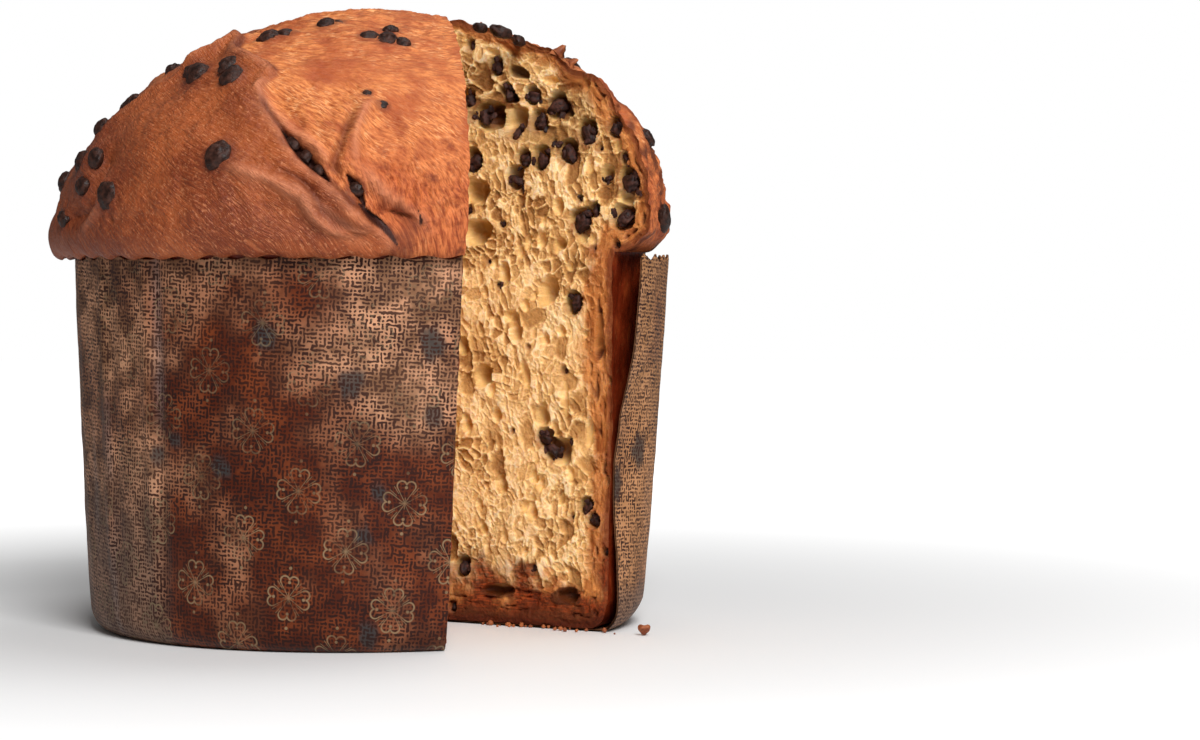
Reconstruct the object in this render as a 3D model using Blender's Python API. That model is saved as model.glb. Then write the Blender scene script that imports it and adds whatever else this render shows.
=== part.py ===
"""A tall sweet loaf with a domed crust, cut once, standing in its own paper baking case.

The loaf is a turned body whose dome swells over the rim of the case. A knife has taken one
wedge out of its front right, so that the crumb shows on two upright faces with bubbles and
chocolate chips. The loaf is one solid, with the chips fused on, and the case is another.
Metres, Z up, and the origin lies on the floor under the middle of the case.
"""
import itertools
import math

import bmesh
import bpy
import numpy as np
from mathutils import Matrix, Vector

MM = 0.001

# Driving dimensions of the loaf
CROWN_RADIUS = 0.0953          # the dome where it is widest, over the rim of the case
CROWN_HEIGHT = 0.190           # the top of the dome above the floor
CROWN_LEVEL = 0.1265           # height at which the dome is widest
CROWN_OFFSET = 0.0017          # how far the dome leans to the left
LIP_LEVEL = 0.1150             # underside of the dome, just over the rim
LOAF_BASE = 0.0008             # underside of the loaf, on the paper base
BASE_CORNER = 0.0080           # height of the rounded corner at the foot
FOLDED_SIDE = (-153, -66, 29)  # columns of the folded front: first and last turn, and how many
CUT_AWAY = (-66, -22, 3)       # columns where the wedge comes out
SMOOTH_SIDE = (-22, 207, 37)   # columns of the rest

# Driving dimensions of the paper case
PAPER = 0.0005                 # thickness of the baking paper
CASE_GAP = 0.0004              # air between the paper and the crust
CASE_FOOT = 0.0780             # radius of the flat base
CASE_HEEL = 0.0840             # radius just over the rounded corner
CASE_RIM = 0.0885              # radius at the rim
RIM_LEVEL = 0.1145             # height of the tips along the rim
SCALLOPS = 54                  # concave bites along the rim
SCALLOP_DEPTH = 0.0020

# The wedge: two upright cuts that meet inside the loaf
APEX = Vector((0.0176, 0.0065))
CUT_LEFT = math.radians(-80.3)     # the way along which the left cut leaves the apex
CUT_RIGHT = math.radians(-30.2)    # the way along which the right cut leaves it
KNIFE_LEAN = 0.04                  # the left cut leans to the right by this much for each metre up
LEAN_LEVEL = 0.070                 # height at which the lean is nothing
CUT_EDGE = 0.100                   # reach at which the cuts have left the loaf
CUT_REACH = 0.120                  # how far the wedge runs out from the apex
CUT_CELL = 0.0062                  # size of a cell of the torn crumb surface
CRUMB_RELIEF = 0.0011              # how far the crumb stands out or in


def soft_noise(points, cell, seed):
    """Smooth noise from about -1 to 1 whose lumps are about one cell wide."""
    table = np.random.default_rng(seed).uniform(-1.0, 1.0, (32, 32, 32))
    grid = np.asarray(points, dtype=float) / cell
    low = np.floor(grid).astype(int)
    part = grid - low
    part = part * part * (3.0 - 2.0 * part)
    total = np.zeros(grid.shape[:-1])
    for corner in itertools.product((0, 1), repeat=3):
        side = np.array(corner)
        weight = np.prod(np.where(side == 1, part, 1.0 - part), axis=-1)
        spot = (low + side) % 32
        total += weight * table[spot[..., 0], spot[..., 1], spot[..., 2]]
    return total


def bell(value, middle, width):
    """A smooth hump of height 1."""
    return np.exp(-((value - middle) / width) ** 2)


def turned_apart(turn, middle):
    """Angle in degrees from the middle, the short way round."""
    return (np.degrees(turn) - middle + 180.0) % 360.0 - 180.0


def case_radius(turn, height):
    """Outside of the paper wall: it widens upwards and bulges where the wedge let it go."""
    up = np.clip(height, 0.0, RIM_LEVEL)
    corner = np.clip(1.0 - up / BASE_CORNER, 0.0, 1.0)
    foot = CASE_FOOT + (CASE_HEEL - CASE_FOOT) * np.sqrt(1.0 - corner ** 2)
    rise = np.clip((up - BASE_CORNER) / (RIM_LEVEL - BASE_CORNER), 0.0, 1.0)
    return foot + (CASE_RIM - CASE_HEEL) * rise ** 0.8


def case_bulge(turn, height):
    """How far the paper has sprung away from the crust near the right cut."""
    share = height / RIM_LEVEL
    away = turned_apart(turn, 8.0)
    spring = (2.6 + 4.0 * share) * bell(away, 0.0, 26.0) * np.clip(share * 14.0, 0.0, 1.0)
    hugged = -4.6 * bell(share, 0.42, 0.27)
    flared = 1.7 / (1.0 + np.exp(-(share - 0.68) * 30.0))
    edge = bell(turned_apart(turn, -20.0), 0.0, 9.0)
    return (spring + (hugged + flared) * edge) * MM


def loaf_side(turn, height):
    """Crust inside the case: it fills the paper, and has shrunk back beside the right cut."""
    pulled = (2.4 + 2.2 * height / 0.1) * bell(turned_apart(turn, -20.0), 0.0, 12.0) * MM
    return case_radius(turn, height) - PAPER - CASE_GAP - pulled


# Places on the dome are a turn round the axis and a bend from the top, in degrees.
# A fold runs through its places: the dough is raised or sunk there, by mm, over a width in mm.
FOLDS = (
    ("torn flap", 3.2, 5.0, ((-136, 44), (-131, 40), (-127, 35))),
    ("left ridge", 2.0, 6.0, ((-139, 50), (-147, 60), (-149, 67), (-146, 76))),
    ("left crease", -2.4, 4.0, ((-141, 76), (-142, 85), (-145, 94), (-149, 104))),
    ("petal crevice", -3.0, 5.0, ((-104, 62), (-100, 69), (-95, 77), (-90, 85), (-83, 95), (-79, 104))),
    ("petal edge", 1.8, 6.5, ((-121, 43), (-112, 53), (-106, 65), (-100, 74), (-94, 84), (-88, 94))),
    ("middle ridge", 2.2, 6.0, ((-86, 63), (-89, 74), (-90, 84), (-87, 92))),
    ("lower fold", 1.5, 6.0, ((-108, 79), (-99, 85), (-93, 91), (-85, 97))),
    ("back crease", -2.6, 6.0, ((150, 40), (128, 60), (118, 78), (112, 98))),
    ("back ridge", 2.4, 8.0, ((162, 45), (140, 64), (131, 82), (126, 100))),
    ("right crease", -2.2, 5.0, ((60, 30), (44, 52), (34, 74), (30, 98))),
    ("right ridge", 2.2, 7.0, ((76, 34), (58, 56), (48, 76), (44, 96))),
    ("rear tear", -2.2, 6.0, ((-172, 42), (-178, 62), (176, 82), (178, 100))),
)
# Single swellings: the place, the height in mm and the width in mm.
SWELLINGS = (
    ("knob by the cut", -17, 40, 2.4, 7.0),
    ("shoulder knob", -18, 53, 2.8, 8.0),
    ("lower knob", -16, 66, 3.2, 9.0),
    ("lip over the cut", -21, 92, 1.6, 13.0),
    ("low left shoulder", -161, 46, -7.5, 42.0),
    ("flat left side", -176, 80, -2.6, 30.0),
    ("smooth petal", -115, 72, 1.4, 26.0),
)


def dome_place(turn, bend):
    """Plain surface of the dome: turn round the axis, bend down from the top."""
    turn = np.asarray(turn, dtype=float)
    bend = np.asarray(bend, dtype=float)
    radius = CROWN_RADIUS - CROWN_OFFSET * np.cos(turn) + 0.0005 * np.sin(turn) ** 2
    neck = loaf_side(turn, LIP_LEVEL)
    over = bend <= math.pi / 2
    out = np.where(over, radius * np.sin(bend), neck + (radius - neck) * np.sin(bend))
    drop = np.where(over, CROWN_HEIGHT - CROWN_LEVEL, CROWN_LEVEL - LIP_LEVEL)
    up = CROWN_LEVEL + drop * np.cos(bend)
    return np.stack((out * np.cos(turn), out * np.sin(turn), up), axis=-1)


def outward(turn, bend):
    """Direction in which the crust faces."""
    flat = np.sin(bend) / CROWN_RADIUS
    rise = np.cos(bend) / (CROWN_HEIGHT - CROWN_LEVEL)
    size = np.hypot(flat, rise)
    return np.stack((flat * np.cos(turn), flat * np.sin(turn), rise), axis=-1) / size[..., None]


def dome_relief(places):
    """Height of the folds, the swellings and the uneven crust over the plain dome, in metres."""
    relief = 0.9 * soft_noise(places, 0.030, 11) + 0.5 * soft_noise(places, 0.013, 12)
    for name, height, width, route in FOLDS:
        knots = dome_place(*np.radians(np.array(route, dtype=float)).T)
        gap = np.full(places.shape[:-1], np.inf)
        for start, end in zip(knots[:-1], knots[1:]):
            run = end - start
            along = np.clip((places - start) @ run / (run @ run), 0.0, 1.0)
            gap = np.minimum(gap, np.linalg.norm(places - start - along[..., None] * run, axis=-1))
        relief += height * bell(gap, 0.0, width * MM)
    for name, turn, bend, height, width in SWELLINGS:
        middle = dome_place(math.radians(turn), math.radians(bend))
        relief += height * bell(np.linalg.norm(places - middle, axis=-1), 0.0, width * MM)
    return relief * MM


def crust_point(turn, bend):
    """The finished dome surface, with its folds, which fade out where the crust meets the rim."""
    plain = dome_place(turn, bend)
    fade = np.clip((math.radians(150.0) - bend) / math.radians(50.0), 0.0, 1.0)
    return plain + outward(turn, bend) * (dome_relief(plain) * fade)[..., None]


def ring_points(turns):
    """Rings of the loaf from near the top of the dome to near the middle of its base."""
    rings = []
    for bend in np.radians(np.linspace(6.0, 98.0, 15)):
        rings.append(crust_point(turns, np.full_like(turns, bend)))
    for bend in np.radians((112.0, 130.0, 150.0)):
        rings.append(crust_point(turns, np.full_like(turns, bend)))
    heights = np.linspace(LIP_LEVEL - 0.0004, BASE_CORNER + LOAF_BASE, 9)
    for height in heights:
        out = loaf_side(turns, height)
        level = np.full_like(turns, height)
        places = np.stack((out * np.cos(turns), out * np.sin(turns), level), axis=-1)
        out = out - 0.0004 * (1.0 + soft_noise(places, 0.016, 13))
        rings.append(np.stack((out * np.cos(turns), out * np.sin(turns), level), axis=-1))
    heel = loaf_side(turns, BASE_CORNER)
    for sweep in np.radians((35.0, 65.0, 90.0)):
        out = heel - 0.0014 - 0.0055 * (1.0 - math.cos(sweep))
        level = np.full_like(turns, LOAF_BASE + BASE_CORNER * (1.0 - math.sin(sweep)))
        rings.append(np.stack((out * np.cos(turns), out * np.sin(turns), level), axis=-1))
    for share in (0.72, 0.42, 0.14):
        out = (heel - 0.0069) * share
        level = np.full_like(turns, LOAF_BASE)
        rings.append(np.stack((out * np.cos(turns), out * np.sin(turns), level), axis=-1))
    return rings


def material(name, colour, roughness):
    """A plain Principled material."""
    made = bpy.data.materials.new(name)
    made.use_nodes = True
    shader = made.node_tree.nodes["Principled BSDF"]
    shader.inputs["Base Color"].default_value = (*colour, 1.0)
    shader.inputs["Roughness"].default_value = roughness
    shader.inputs["Metallic"].default_value = 0.0
    made.diffuse_color = (*colour, 1.0)
    return made


def new_object(name, bm, finish):
    """Turn a bmesh into a named object with one finish."""
    mesh = bpy.data.meshes.new(name)
    bmesh.ops.recalc_face_normals(bm, faces=bm.faces)
    bm.to_mesh(mesh)
    bm.free()
    mesh.materials.append(finish)
    thing = bpy.data.objects.new(name, mesh)
    bpy.context.scene.collection.objects.link(thing)
    return thing


def skin_rings(bm, rings, closed=True):
    """Join rings of places with faces, and return the rings of vertices."""
    made = [[bm.verts.new(place) for place in ring] for ring in rings]
    for upper, lower in zip(made[:-1], made[1:]):
        last = len(upper) if closed else len(upper) - 1
        for spot in range(last):
            after = (spot + 1) % len(upper)
            bm.faces.new((upper[spot], lower[spot], lower[after], upper[after]))
    return made


def make_loaf(finish):
    """The whole loaf before the knife."""
    stretches = [np.linspace(first, last, count, endpoint=False)
                 for first, last, count in (FOLDED_SIDE, CUT_AWAY, SMOOTH_SIDE)]
    turns = np.radians(np.concatenate(stretches))
    bm = bmesh.new()
    made = skin_rings(bm, ring_points(turns))
    for ring, level in ((made[0], None), (made[-1], LOAF_BASE)):
        middle = sum((vert.co for vert in ring), Vector()) / len(ring)
        middle.z = middle.z + 0.0003 if level is None else level
        tip = bm.verts.new(middle)
        for here, after in zip(ring, ring[1:] + ring[:1]):
            bm.faces.new((tip, here, after))
    return new_object("cake", bm, finish)


def cut_lean(height):
    """How far the left cut has moved into the wedge at this height."""
    return KNIFE_LEAN * (height - LEAN_LEVEL)


def cut_start(way, height):
    """Reach at which a cut begins, where the two cuts meet at this height."""
    opening = CUT_RIGHT - CUT_LEFT
    start = cut_lean(height) / math.sin(opening)
    return start if way == CUT_RIGHT else start * math.cos(opening)


def cut_place(way, reach, height, sideways):
    """A place on one of the cuts: reach from the apex, height, and distance into the wedge."""
    along = Vector((math.cos(way), math.sin(way)))
    into = Vector((-along.y, along.x)) if way == CUT_LEFT else Vector((along.y, -along.x))
    lean = cut_lean(height) if way == CUT_LEFT else 0.0
    spot = APEX + along * reach + into * (sideways + lean)
    return Vector((spot.x, spot.y, height))


def crumb_relief(places, seed):
    """Torn crumb: broad hollows and swellings of the cut surface, in metres."""
    broad = soft_noise(places, 0.015, seed)
    small = soft_noise(places, 0.0065, seed + 1)
    return CRUMB_RELIEF * (0.6 * broad + 0.6 * small)


def wedge_cutter(finish, torn, name):
    """The wedge as a closed prism, with torn crumb on its two inner faces if asked."""
    low, high = -0.010, 0.205
    rows = int((high - low) / CUT_CELL)
    shares = np.linspace(0.0, 1.0, int(CUT_EDGE / CUT_CELL))
    rings = []
    for height in np.linspace(low, high, rows):
        ring = []
        for way, seed in ((CUT_LEFT, 21), (CUT_RIGHT, 31)):
            start = cut_start(way, height)
            reaches = start + (CUT_EDGE - start) * shares
            flat = np.array([cut_place(way, reach, height, 0.0) for reach in reaches])
            fade = np.clip(shares * 8.0, 0.0, 1.0) * np.clip((1.0 - shares) * 12.0, 0.0, 1.0)
            relief = crumb_relief(flat, seed) * fade if torn else np.zeros(len(reaches))
            places = [cut_place(way, *spot) for spot in
                      zip(reaches, itertools.repeat(height), relief)]
            places.append(cut_place(way, CUT_REACH, height, 0.0))
            ring.append(places)
        rings.append(ring[0][::-1] + ring[1][1:])
    bm = bmesh.new()
    made = skin_rings(bm, rings)
    for ring in (made[0], made[-1]):
        bm.faces.new(ring)
    bmesh.ops.triangulate(bm, faces=bm.faces)
    return new_object(name, bm, finish)


# Large bubbles of the right face: distance from the apex, height, width and height of the
# bubble, all in mm, and how far it lies tilted, in degrees.
BUBBLES_RIGHT = (
    (13, 165, 8, 9, 10), (24.5, 157, 12, 10, 0), (35, 155.5, 8, 10, 20), (31, 163.5, 9, 4, 30),
    (50, 159.5, 10, 5.5, 30), (35, 170, 8, 4, 20), (20, 134, 11, 8, 0), (20, 121.5, 11, 8.5, 0),
    (66.5, 138.5, 5, 7, 0), (58, 122.5, 5, 11, 0), (73, 131, 5.5, 8, 0), (45.5, 103, 7, 10, 10),
    (64.5, 88.5, 4, 19, 0), (22.5, 77, 7, 8, 20), (43.5, 65, 4.5, 8, 0), (50.5, 54.5, 7, 9, 0),
    (27, 11, 12, 4, 0), (53, 10.5, 8, 5, 0),
)
BUBBLES_LEFT = (
    (22, 152, 12, 9, 10), (40, 160, 9, 6, -30), (55, 148, 7, 9, 0), (30, 128, 8, 10, 0),
    (60, 120, 6, 10, 0), (44, 104, 8, 12, 0), (20, 88, 7, 10, 10), (56, 78, 5, 11, 0),
    (34, 62, 8, 9, 0), (60, 44, 6, 9, 0), (26, 34, 8, 6, 0), (46, 16, 12, 5, 0),
)
# Chips seen on the right face and on the dome, at the same kind of places, then their size in mm
CHIPS_RIGHT = (
    (17, 162, 5), (22.5, 157, 6), (31, 163.5, 5), (40, 162.5, 5), (34, 151.5, 5), (42, 154.5, 6),
    (27, 172, 5), (18.5, 143, 6), (37, 143.5, 5), (43, 143, 6), (34, 137, 6), (52.5, 145, 6.5),
    (59.5, 150.5, 7), (69, 152, 5), (49, 159.5, 6.5), (74, 136, 7), (57, 124, 7), (72, 125, 7),
    (62, 127.5, 4), (55, 99, 6), (44, 58, 5.5), (47, 54.5, 5.5), (59, 37.5, 4.5), (62, 33.5, 4.5),
    (14.5, 17, 5.5),
)
CHIPS_DOME = (
    (-134, 48, 9), (-131, 47, 7), (-125, 53, 8), (-117, 51, 7), (-113, 57, 7.5), (-111, 77, 8.5),
    (-151, 65, 7), (-149, 76, 7.5), (-144, 75, 7), (-136, 86, 8), (-146, 83, 6), (-86, 85, 7.5),
    (-97, 75, 7), (-94, 79, 5), (-115, 35, 8), (-111, 33, 6), (-99, 29, 7), (-83, 37, 7),
    (-78, 38, 7.5), (-74, 39, 6), (-82, 63, 4), (-78, 99, 8), (-153, 102, 6), (-10, 96, 9),
    (-14, 70, 6), (-8, 44, 7), (-22, 30, 7.5), (20, 58, 7.5), (38, 36, 7), (52, 80, 7.5),
    (75, 64, 7), (98, 42, 7.5), (91, 89, 8.5), (128, 72, 7.5), (142, 30, 7), (150, 92, 7),
    (164, 66, 7.5), (-170, 80, 7), (-164, 52, 7.5), (88, 24, 7), (172, 40, 6),
)
CHIP_STAND = -0.08             # how far a chip's middle stands over the crust, in its own sizes


def blob(bm, middle, sizes, spin, rounds, seed):
    """A closed rounded lump with uneven sides, added to the bmesh."""
    made = bmesh.ops.create_icosphere(bm, subdivisions=rounds, radius=0.5)["verts"]
    rng = np.random.default_rng(seed)
    for vert in made:
        vert.co *= 1.0 + rng.uniform(-0.09, 0.09)
    scale = Matrix.Diagonal((*sizes, 1.0))
    bmesh.ops.transform(bm, matrix=Matrix.Translation(middle) @ spin @ scale, verts=made)


def blob_object(name, middle, sizes, spin, rounds, seed, finish, store):
    """A lump as an object of its own in a collection of lumps."""
    bm = bmesh.new()
    blob(bm, middle, sizes, spin, rounds, seed)
    thing = new_object(name, bm, finish)
    bpy.context.scene.collection.objects.unlink(thing)
    store.objects.link(thing)


def cut_spin(way, tilt):
    """Turns a lump so that its width runs along the cut and its height runs up, tilted."""
    return Matrix.Rotation(way, 4, "Z") @ Matrix.Rotation(math.radians(tilt), 4, "Y")


def make_bubbles(finish, store):
    """Hollow places of the two cut faces."""
    for way, bubbles in ((CUT_RIGHT, BUBBLES_RIGHT), (CUT_LEFT, BUBBLES_LEFT)):
        for number, (reach, height, wide, tall, tilt) in enumerate(bubbles):
            deep = 0.8 * min(wide, tall) + 1.5
            middle = cut_place(way, reach * MM, height * MM, 0.0)
            sizes = (wide * MM, deep * 2.0 * MM, tall * MM)
            rounds = 2 if min(wide, tall) > 6 else 1
            spin = cut_spin(way, tilt)
            blob_object("bubble", middle, sizes, spin, rounds, number, finish, store)


def chip_spin(seed):
    """A seeded turn of a chip about all three axes."""
    angles = np.random.default_rng(seed).uniform(-math.pi, math.pi, 3)
    turn = Matrix.Rotation(angles[0], 4, "X") @ Matrix.Rotation(angles[1], 4, "Y")
    return turn @ Matrix.Rotation(angles[2], 4, "Z")


def make_chips(finish, store):
    """Chocolate chips that show, on the right face, on the left face and over the dome."""
    rng = np.random.default_rng(5)
    left = []
    while len(left) < 14:
        reach, height = rng.uniform(10, 68), rng.uniform(12, 168)
        if all(math.hypot(reach - a, height - b) > 14 for a, b, c in left):
            left.append((reach, height, rng.uniform(4.5, 7.0)))
    for way, chips in ((CUT_RIGHT, CHIPS_RIGHT), (CUT_LEFT, left)):
        for number, (reach, height, size) in enumerate(chips):
            seed = 100 + number + (0 if way == CUT_RIGHT else 50)
            middle = cut_place(way, reach * MM, height * MM, -0.0008)
            sizes = (size * MM, 0.95 * size * MM, 0.9 * size * MM)
            blob_object("chip", middle, sizes, chip_spin(seed), 1, seed, finish, store)
    for number, (turn, bend, size) in enumerate(CHIPS_DOME):
        place = np.array([math.radians(turn)]), np.array([math.radians(bend)])
        spot = crust_point(*place)[0] + outward(*place)[0] * (CHIP_STAND * size * MM)
        sizes = (size * MM, 0.9 * size * MM, 0.85 * size * MM)
        rounds = 2 if size >= 8.0 else 1
        blob_object("chip", Vector(spot), sizes, chip_spin(200 + number), rounds, 200 + number,
                    finish, store)


def apply_modifiers(thing):
    """Keep the evaluated mesh and drop the modifiers."""
    bpy.context.view_layer.update()
    seen = thing.evaluated_get(bpy.context.evaluated_depsgraph_get())
    finished = bpy.data.meshes.new_from_object(seen)
    finished.name = thing.name
    thing.modifiers.clear()
    thing.data = finished


def combine(thing, operation, other, is_store):
    """Boolean with one object or with a collection, kept in the mesh at once."""
    step = thing.modifiers.new("combine", "BOOLEAN")
    step.operation = operation
    step.solver = "EXACT"
    step.material_mode = "TRANSFER"
    if is_store:
        step.operand_type = "COLLECTION"
        step.collection = other
    else:
        step.object = other
    apply_modifiers(thing)


def drop_scraps(thing):
    """Keep the largest body only."""
    bm = bmesh.new()
    bm.from_mesh(thing.data)
    left = set(bm.verts)
    bodies = []
    while left:
        front = [left.pop()]
        body = set(front)
        while front:
            vert = front.pop()
            for edge in vert.link_edges:
                far = edge.other_vert(vert)
                if far in left:
                    left.discard(far)
                    body.add(far)
                    front.append(far)
        bodies.append(body)
    bodies.sort(key=len)
    for body in bodies[:-1]:
        bmesh.ops.delete(bm, geom=list(body), context="VERTS")
    bm.to_mesh(thing.data)
    bm.free()
    print(thing.name, "scraps dropped:", len(bodies) - 1, "faces:", len(thing.data.polygons))


def new_store(name):
    """An empty collection in the scene."""
    store = bpy.data.collections.new(name)
    bpy.context.scene.collection.children.link(store)
    return store


def empty_store(store):
    """Remove the lumps of a collection once the loaf has taken their shape."""
    for thing in list(store.objects):
        bpy.data.objects.remove(thing)
    bpy.data.collections.remove(store)


def make_case(finish):
    """Base and wall of the paper case, as a thin closed shell with a scalloped rim."""
    bites = 4
    count = SCALLOPS * bites
    turns = np.linspace(0.0, 2.0 * math.pi, count, endpoint=False)
    part = (np.arange(count) % bites) / bites
    rim = RIM_LEVEL - SCALLOP_DEPTH * 4.0 * part * (1.0 - part)

    def ring(levels, inset, every):
        out = case_radius(turns, levels) + case_bulge(turns, levels) - inset
        places = np.stack((out * np.cos(turns), out * np.sin(turns), levels), axis=-1)
        return places[::every]

    def stretch(bm, coarse, fine):
        """Faces between a ring with one place for each scallop and a ring with four."""
        for spot in range(SCALLOPS):
            after = (spot + 1) % SCALLOPS
            run = [fine[(spot * bites + step) % count] for step in range(bites + 1)]
            half = bites // 2
            for step in range(half):
                bm.faces.new((coarse[spot], run[step + 1], run[step]))
            bm.faces.new((coarse[spot], coarse[after], run[half]))
            for step in range(half, bites):
                bm.faces.new((coarse[after], run[step + 1], run[step]))

    bm = bmesh.new()
    skins = []
    for inset, floor in ((0.0, 0.0), (PAPER, PAPER)):
        flat = np.full(count, 0.0)
        rows = [ring(flat, inset + inner, bites) for inner in (0.052, 0.026, 0.0)]
        rows += [ring(flat + level, inset, bites) for level in (0.0012, 0.0038, 0.008)]
        rows += [ring(flat + level, inset, bites) for level in (0.03, 0.052, 0.072, 0.09)]
        for row in rows[:3]:
            row[:, 2] = floor
        for row in rows[3:5]:
            row[:, 2] += floor * 0.7
        made = skin_rings(bm, rows)
        middle = bm.verts.new((0.0, 0.0, floor))
        for spot in range(SCALLOPS):
            bm.faces.new((middle, made[0][(spot + 1) % SCALLOPS], made[0][spot]))
        top = [bm.verts.new(place) for place in ring(rim, inset, 1)]
        stretch(bm, made[-1], top)
        skins.append(top)
    for spot in range(count):
        after = (spot + 1) % count
        bm.faces.new((skins[0][spot], skins[0][after], skins[1][after], skins[1][spot]))
    bmesh.ops.triangulate(bm, faces=bm.faces)
    return new_object("paper_case", bm, finish)


def main():
    for thing in list(bpy.data.objects):
        bpy.data.objects.remove(thing)
    crust = material("crust", (0.300, 0.085, 0.030), 0.55)
    crumb = material("crumb", (0.600, 0.310, 0.120), 0.85)
    chocolate = material("chocolate", (0.060, 0.030, 0.024), 0.45)
    baking_paper = material("baking paper", (0.130, 0.060, 0.030), 0.60)

    loaf = make_loaf(crust)
    knife = wedge_cutter(crumb, True, "wedge")
    combine(loaf, "DIFFERENCE", knife, False)
    bpy.data.objects.remove(knife)
    bubbles = new_store("bubbles")
    make_bubbles(crumb, bubbles)
    combine(loaf, "DIFFERENCE", bubbles, True)
    empty_store(bubbles)
    chips = new_store("chips")
    make_chips(chocolate, chips)
    combine(loaf, "UNION", chips, True)
    empty_store(chips)
    drop_scraps(loaf)

    case = make_case(baking_paper)
    shears = wedge_cutter(baking_paper, False, "shears")
    combine(case, "DIFFERENCE", shears, False)
    bpy.data.objects.remove(shears)
    drop_scraps(case)


main()
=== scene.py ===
# %% [markdown]
# This file dresses a tall sweet loaf with a domed crust that stands in its paper baking case.
# A wedge has been cut out of it, so four surfaces meet the eye: the crust of the dome, the
# darker skin of the side, the open crumb of the two cuts, and the printed paper.
# The solids of the loaf and the case come first, because every piece is built around them.

# %% Start
import itertools
import math

import bmesh
import bpy
import numpy as np
from mathutils import Matrix, Vector
from mathutils.geometry import delaunay_2d_cdt


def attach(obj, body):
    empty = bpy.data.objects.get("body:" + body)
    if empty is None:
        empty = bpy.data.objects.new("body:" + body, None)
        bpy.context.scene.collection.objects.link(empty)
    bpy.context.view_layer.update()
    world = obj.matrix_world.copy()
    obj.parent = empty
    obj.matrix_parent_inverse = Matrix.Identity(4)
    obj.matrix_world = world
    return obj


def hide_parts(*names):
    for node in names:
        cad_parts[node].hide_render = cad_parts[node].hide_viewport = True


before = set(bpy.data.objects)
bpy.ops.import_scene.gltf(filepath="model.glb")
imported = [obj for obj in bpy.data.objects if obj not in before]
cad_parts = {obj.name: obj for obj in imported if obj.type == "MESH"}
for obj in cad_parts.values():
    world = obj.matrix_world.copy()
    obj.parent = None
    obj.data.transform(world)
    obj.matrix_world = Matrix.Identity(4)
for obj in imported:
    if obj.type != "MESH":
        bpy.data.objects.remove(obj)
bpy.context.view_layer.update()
MM = 0.001

# %% [markdown]
# The loaf is a turned body, so a few radii and heights drive everything. The case is a thin
# cup whose wall widens upwards. The wedge is two upright cuts that meet at an apex inside the
# loaf, and the left cut leans a little, as a hand-held knife does.

# %% Driving sizes
CROWN_RADIUS = 0.0953
CROWN_HEIGHT = 0.190
CROWN_LEVEL = 0.1265
CROWN_OFFSET = 0.0017
LIP_LEVEL = 0.1150
LOAF_BASE = 0.0008
BASE_CORNER = 0.0080
PAPER = 0.0005
CASE_GAP = 0.0004
CASE_FOOT = 0.0780
CASE_HEEL = 0.0840
CASE_RIM = 0.0885
RIM_LEVEL = 0.1145
SCALLOPS = 54
SCALLOP_DEPTH = 0.0020
APEX = np.array((0.0176, 0.0065))
CUT_LEFT = math.radians(-80.3)
CUT_RIGHT = math.radians(-30.2)
KNIFE_LEAN = 0.04
LEAN_LEVEL = 0.070
print("opening of the wedge in degrees:", round(math.degrees(CUT_RIGHT - CUT_LEFT), 1))

# %% [markdown]
# Dough is uneven at every scale. Smooth noise gives that: random numbers on a lattice, blended
# in between. It is seeded, so that the loaf comes out the same each time, and it works on whole
# arrays of places at once, because a fine mesh has some hundred thousand of them.


# %% Smooth noise and small curves
def soft_noise(points, cell, seed):
    """Smooth noise from about -1 to 1 whose lumps are about one cell wide."""
    table = np.random.default_rng(seed).uniform(-1.0, 1.0, (32, 32, 32))
    grid = np.asarray(points, dtype=float) / cell
    low = np.floor(grid).astype(int)
    part = grid - low
    part = part * part * (3.0 - 2.0 * part)
    total = np.zeros(grid.shape[:-1])
    for corner in itertools.product((0, 1), repeat=3):
        side = np.array(corner)
        weight = np.prod(np.where(side == 1, part, 1.0 - part), axis=-1)
        spot = (low + side) % 32
        total += weight * table[spot[..., 0], spot[..., 1], spot[..., 2]]
    return total


def bell(value, middle, width):
    """A smooth hump of height 1."""
    return np.exp(-((value - middle) / width) ** 2)


def ease(value, start, end):
    """Goes smoothly from 0 at start to 1 at end."""
    share = np.clip((value - start) / (end - start), 0.0, 1.0)
    return share * share * (3.0 - 2.0 * share)


def turned_apart(turn, middle):
    """Angle in degrees from the middle, the short way round."""
    return (np.degrees(turn) - middle + 180.0) % 360.0 - 180.0


# %% [markdown]
# The paper has sprung away from the crust beside the right cut, where nothing holds it any
# more, and the crust has shrunk back there. Both are written as humps over the angle, so the
# crust and the paper always know where the other one is.


# %% Case and side
def case_radius(turn, height):
    """Outside of the paper wall: it widens upwards from a rounded foot."""
    up = np.clip(height, 0.0, RIM_LEVEL)
    corner = np.clip(1.0 - up / BASE_CORNER, 0.0, 1.0)
    foot = CASE_FOOT + (CASE_HEEL - CASE_FOOT) * np.sqrt(1.0 - corner ** 2)
    rise = np.clip((up - BASE_CORNER) / (RIM_LEVEL - BASE_CORNER), 0.0, 1.0)
    return foot + (CASE_RIM - CASE_HEEL) * rise ** 0.8


def case_bulge(turn, height):
    """How far the paper has sprung away from the crust near the right cut."""
    share = height / RIM_LEVEL
    away = turned_apart(turn, 8.0)
    spring = (2.6 + 4.0 * share) * bell(away, 0.0, 26.0) * np.clip(share * 14.0, 0.0, 1.0)
    hugged = -4.6 * bell(share, 0.42, 0.27)
    flared = 1.7 / (1.0 + np.exp(-(share - 0.68) * 30.0))
    edge = bell(turned_apart(turn, -20.0), 0.0, 9.0)
    return (spring + (hugged + flared) * edge) * MM


def loaf_side(turn, height):
    """Crust inside the case: it fills the paper, and has shrunk back beside the right cut."""
    pulled = (2.4 + 2.2 * height / 0.1) * bell(turned_apart(turn, -20.0), 0.0, 12.0) * MM
    return case_radius(turn, height) - PAPER - CASE_GAP - pulled


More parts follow.
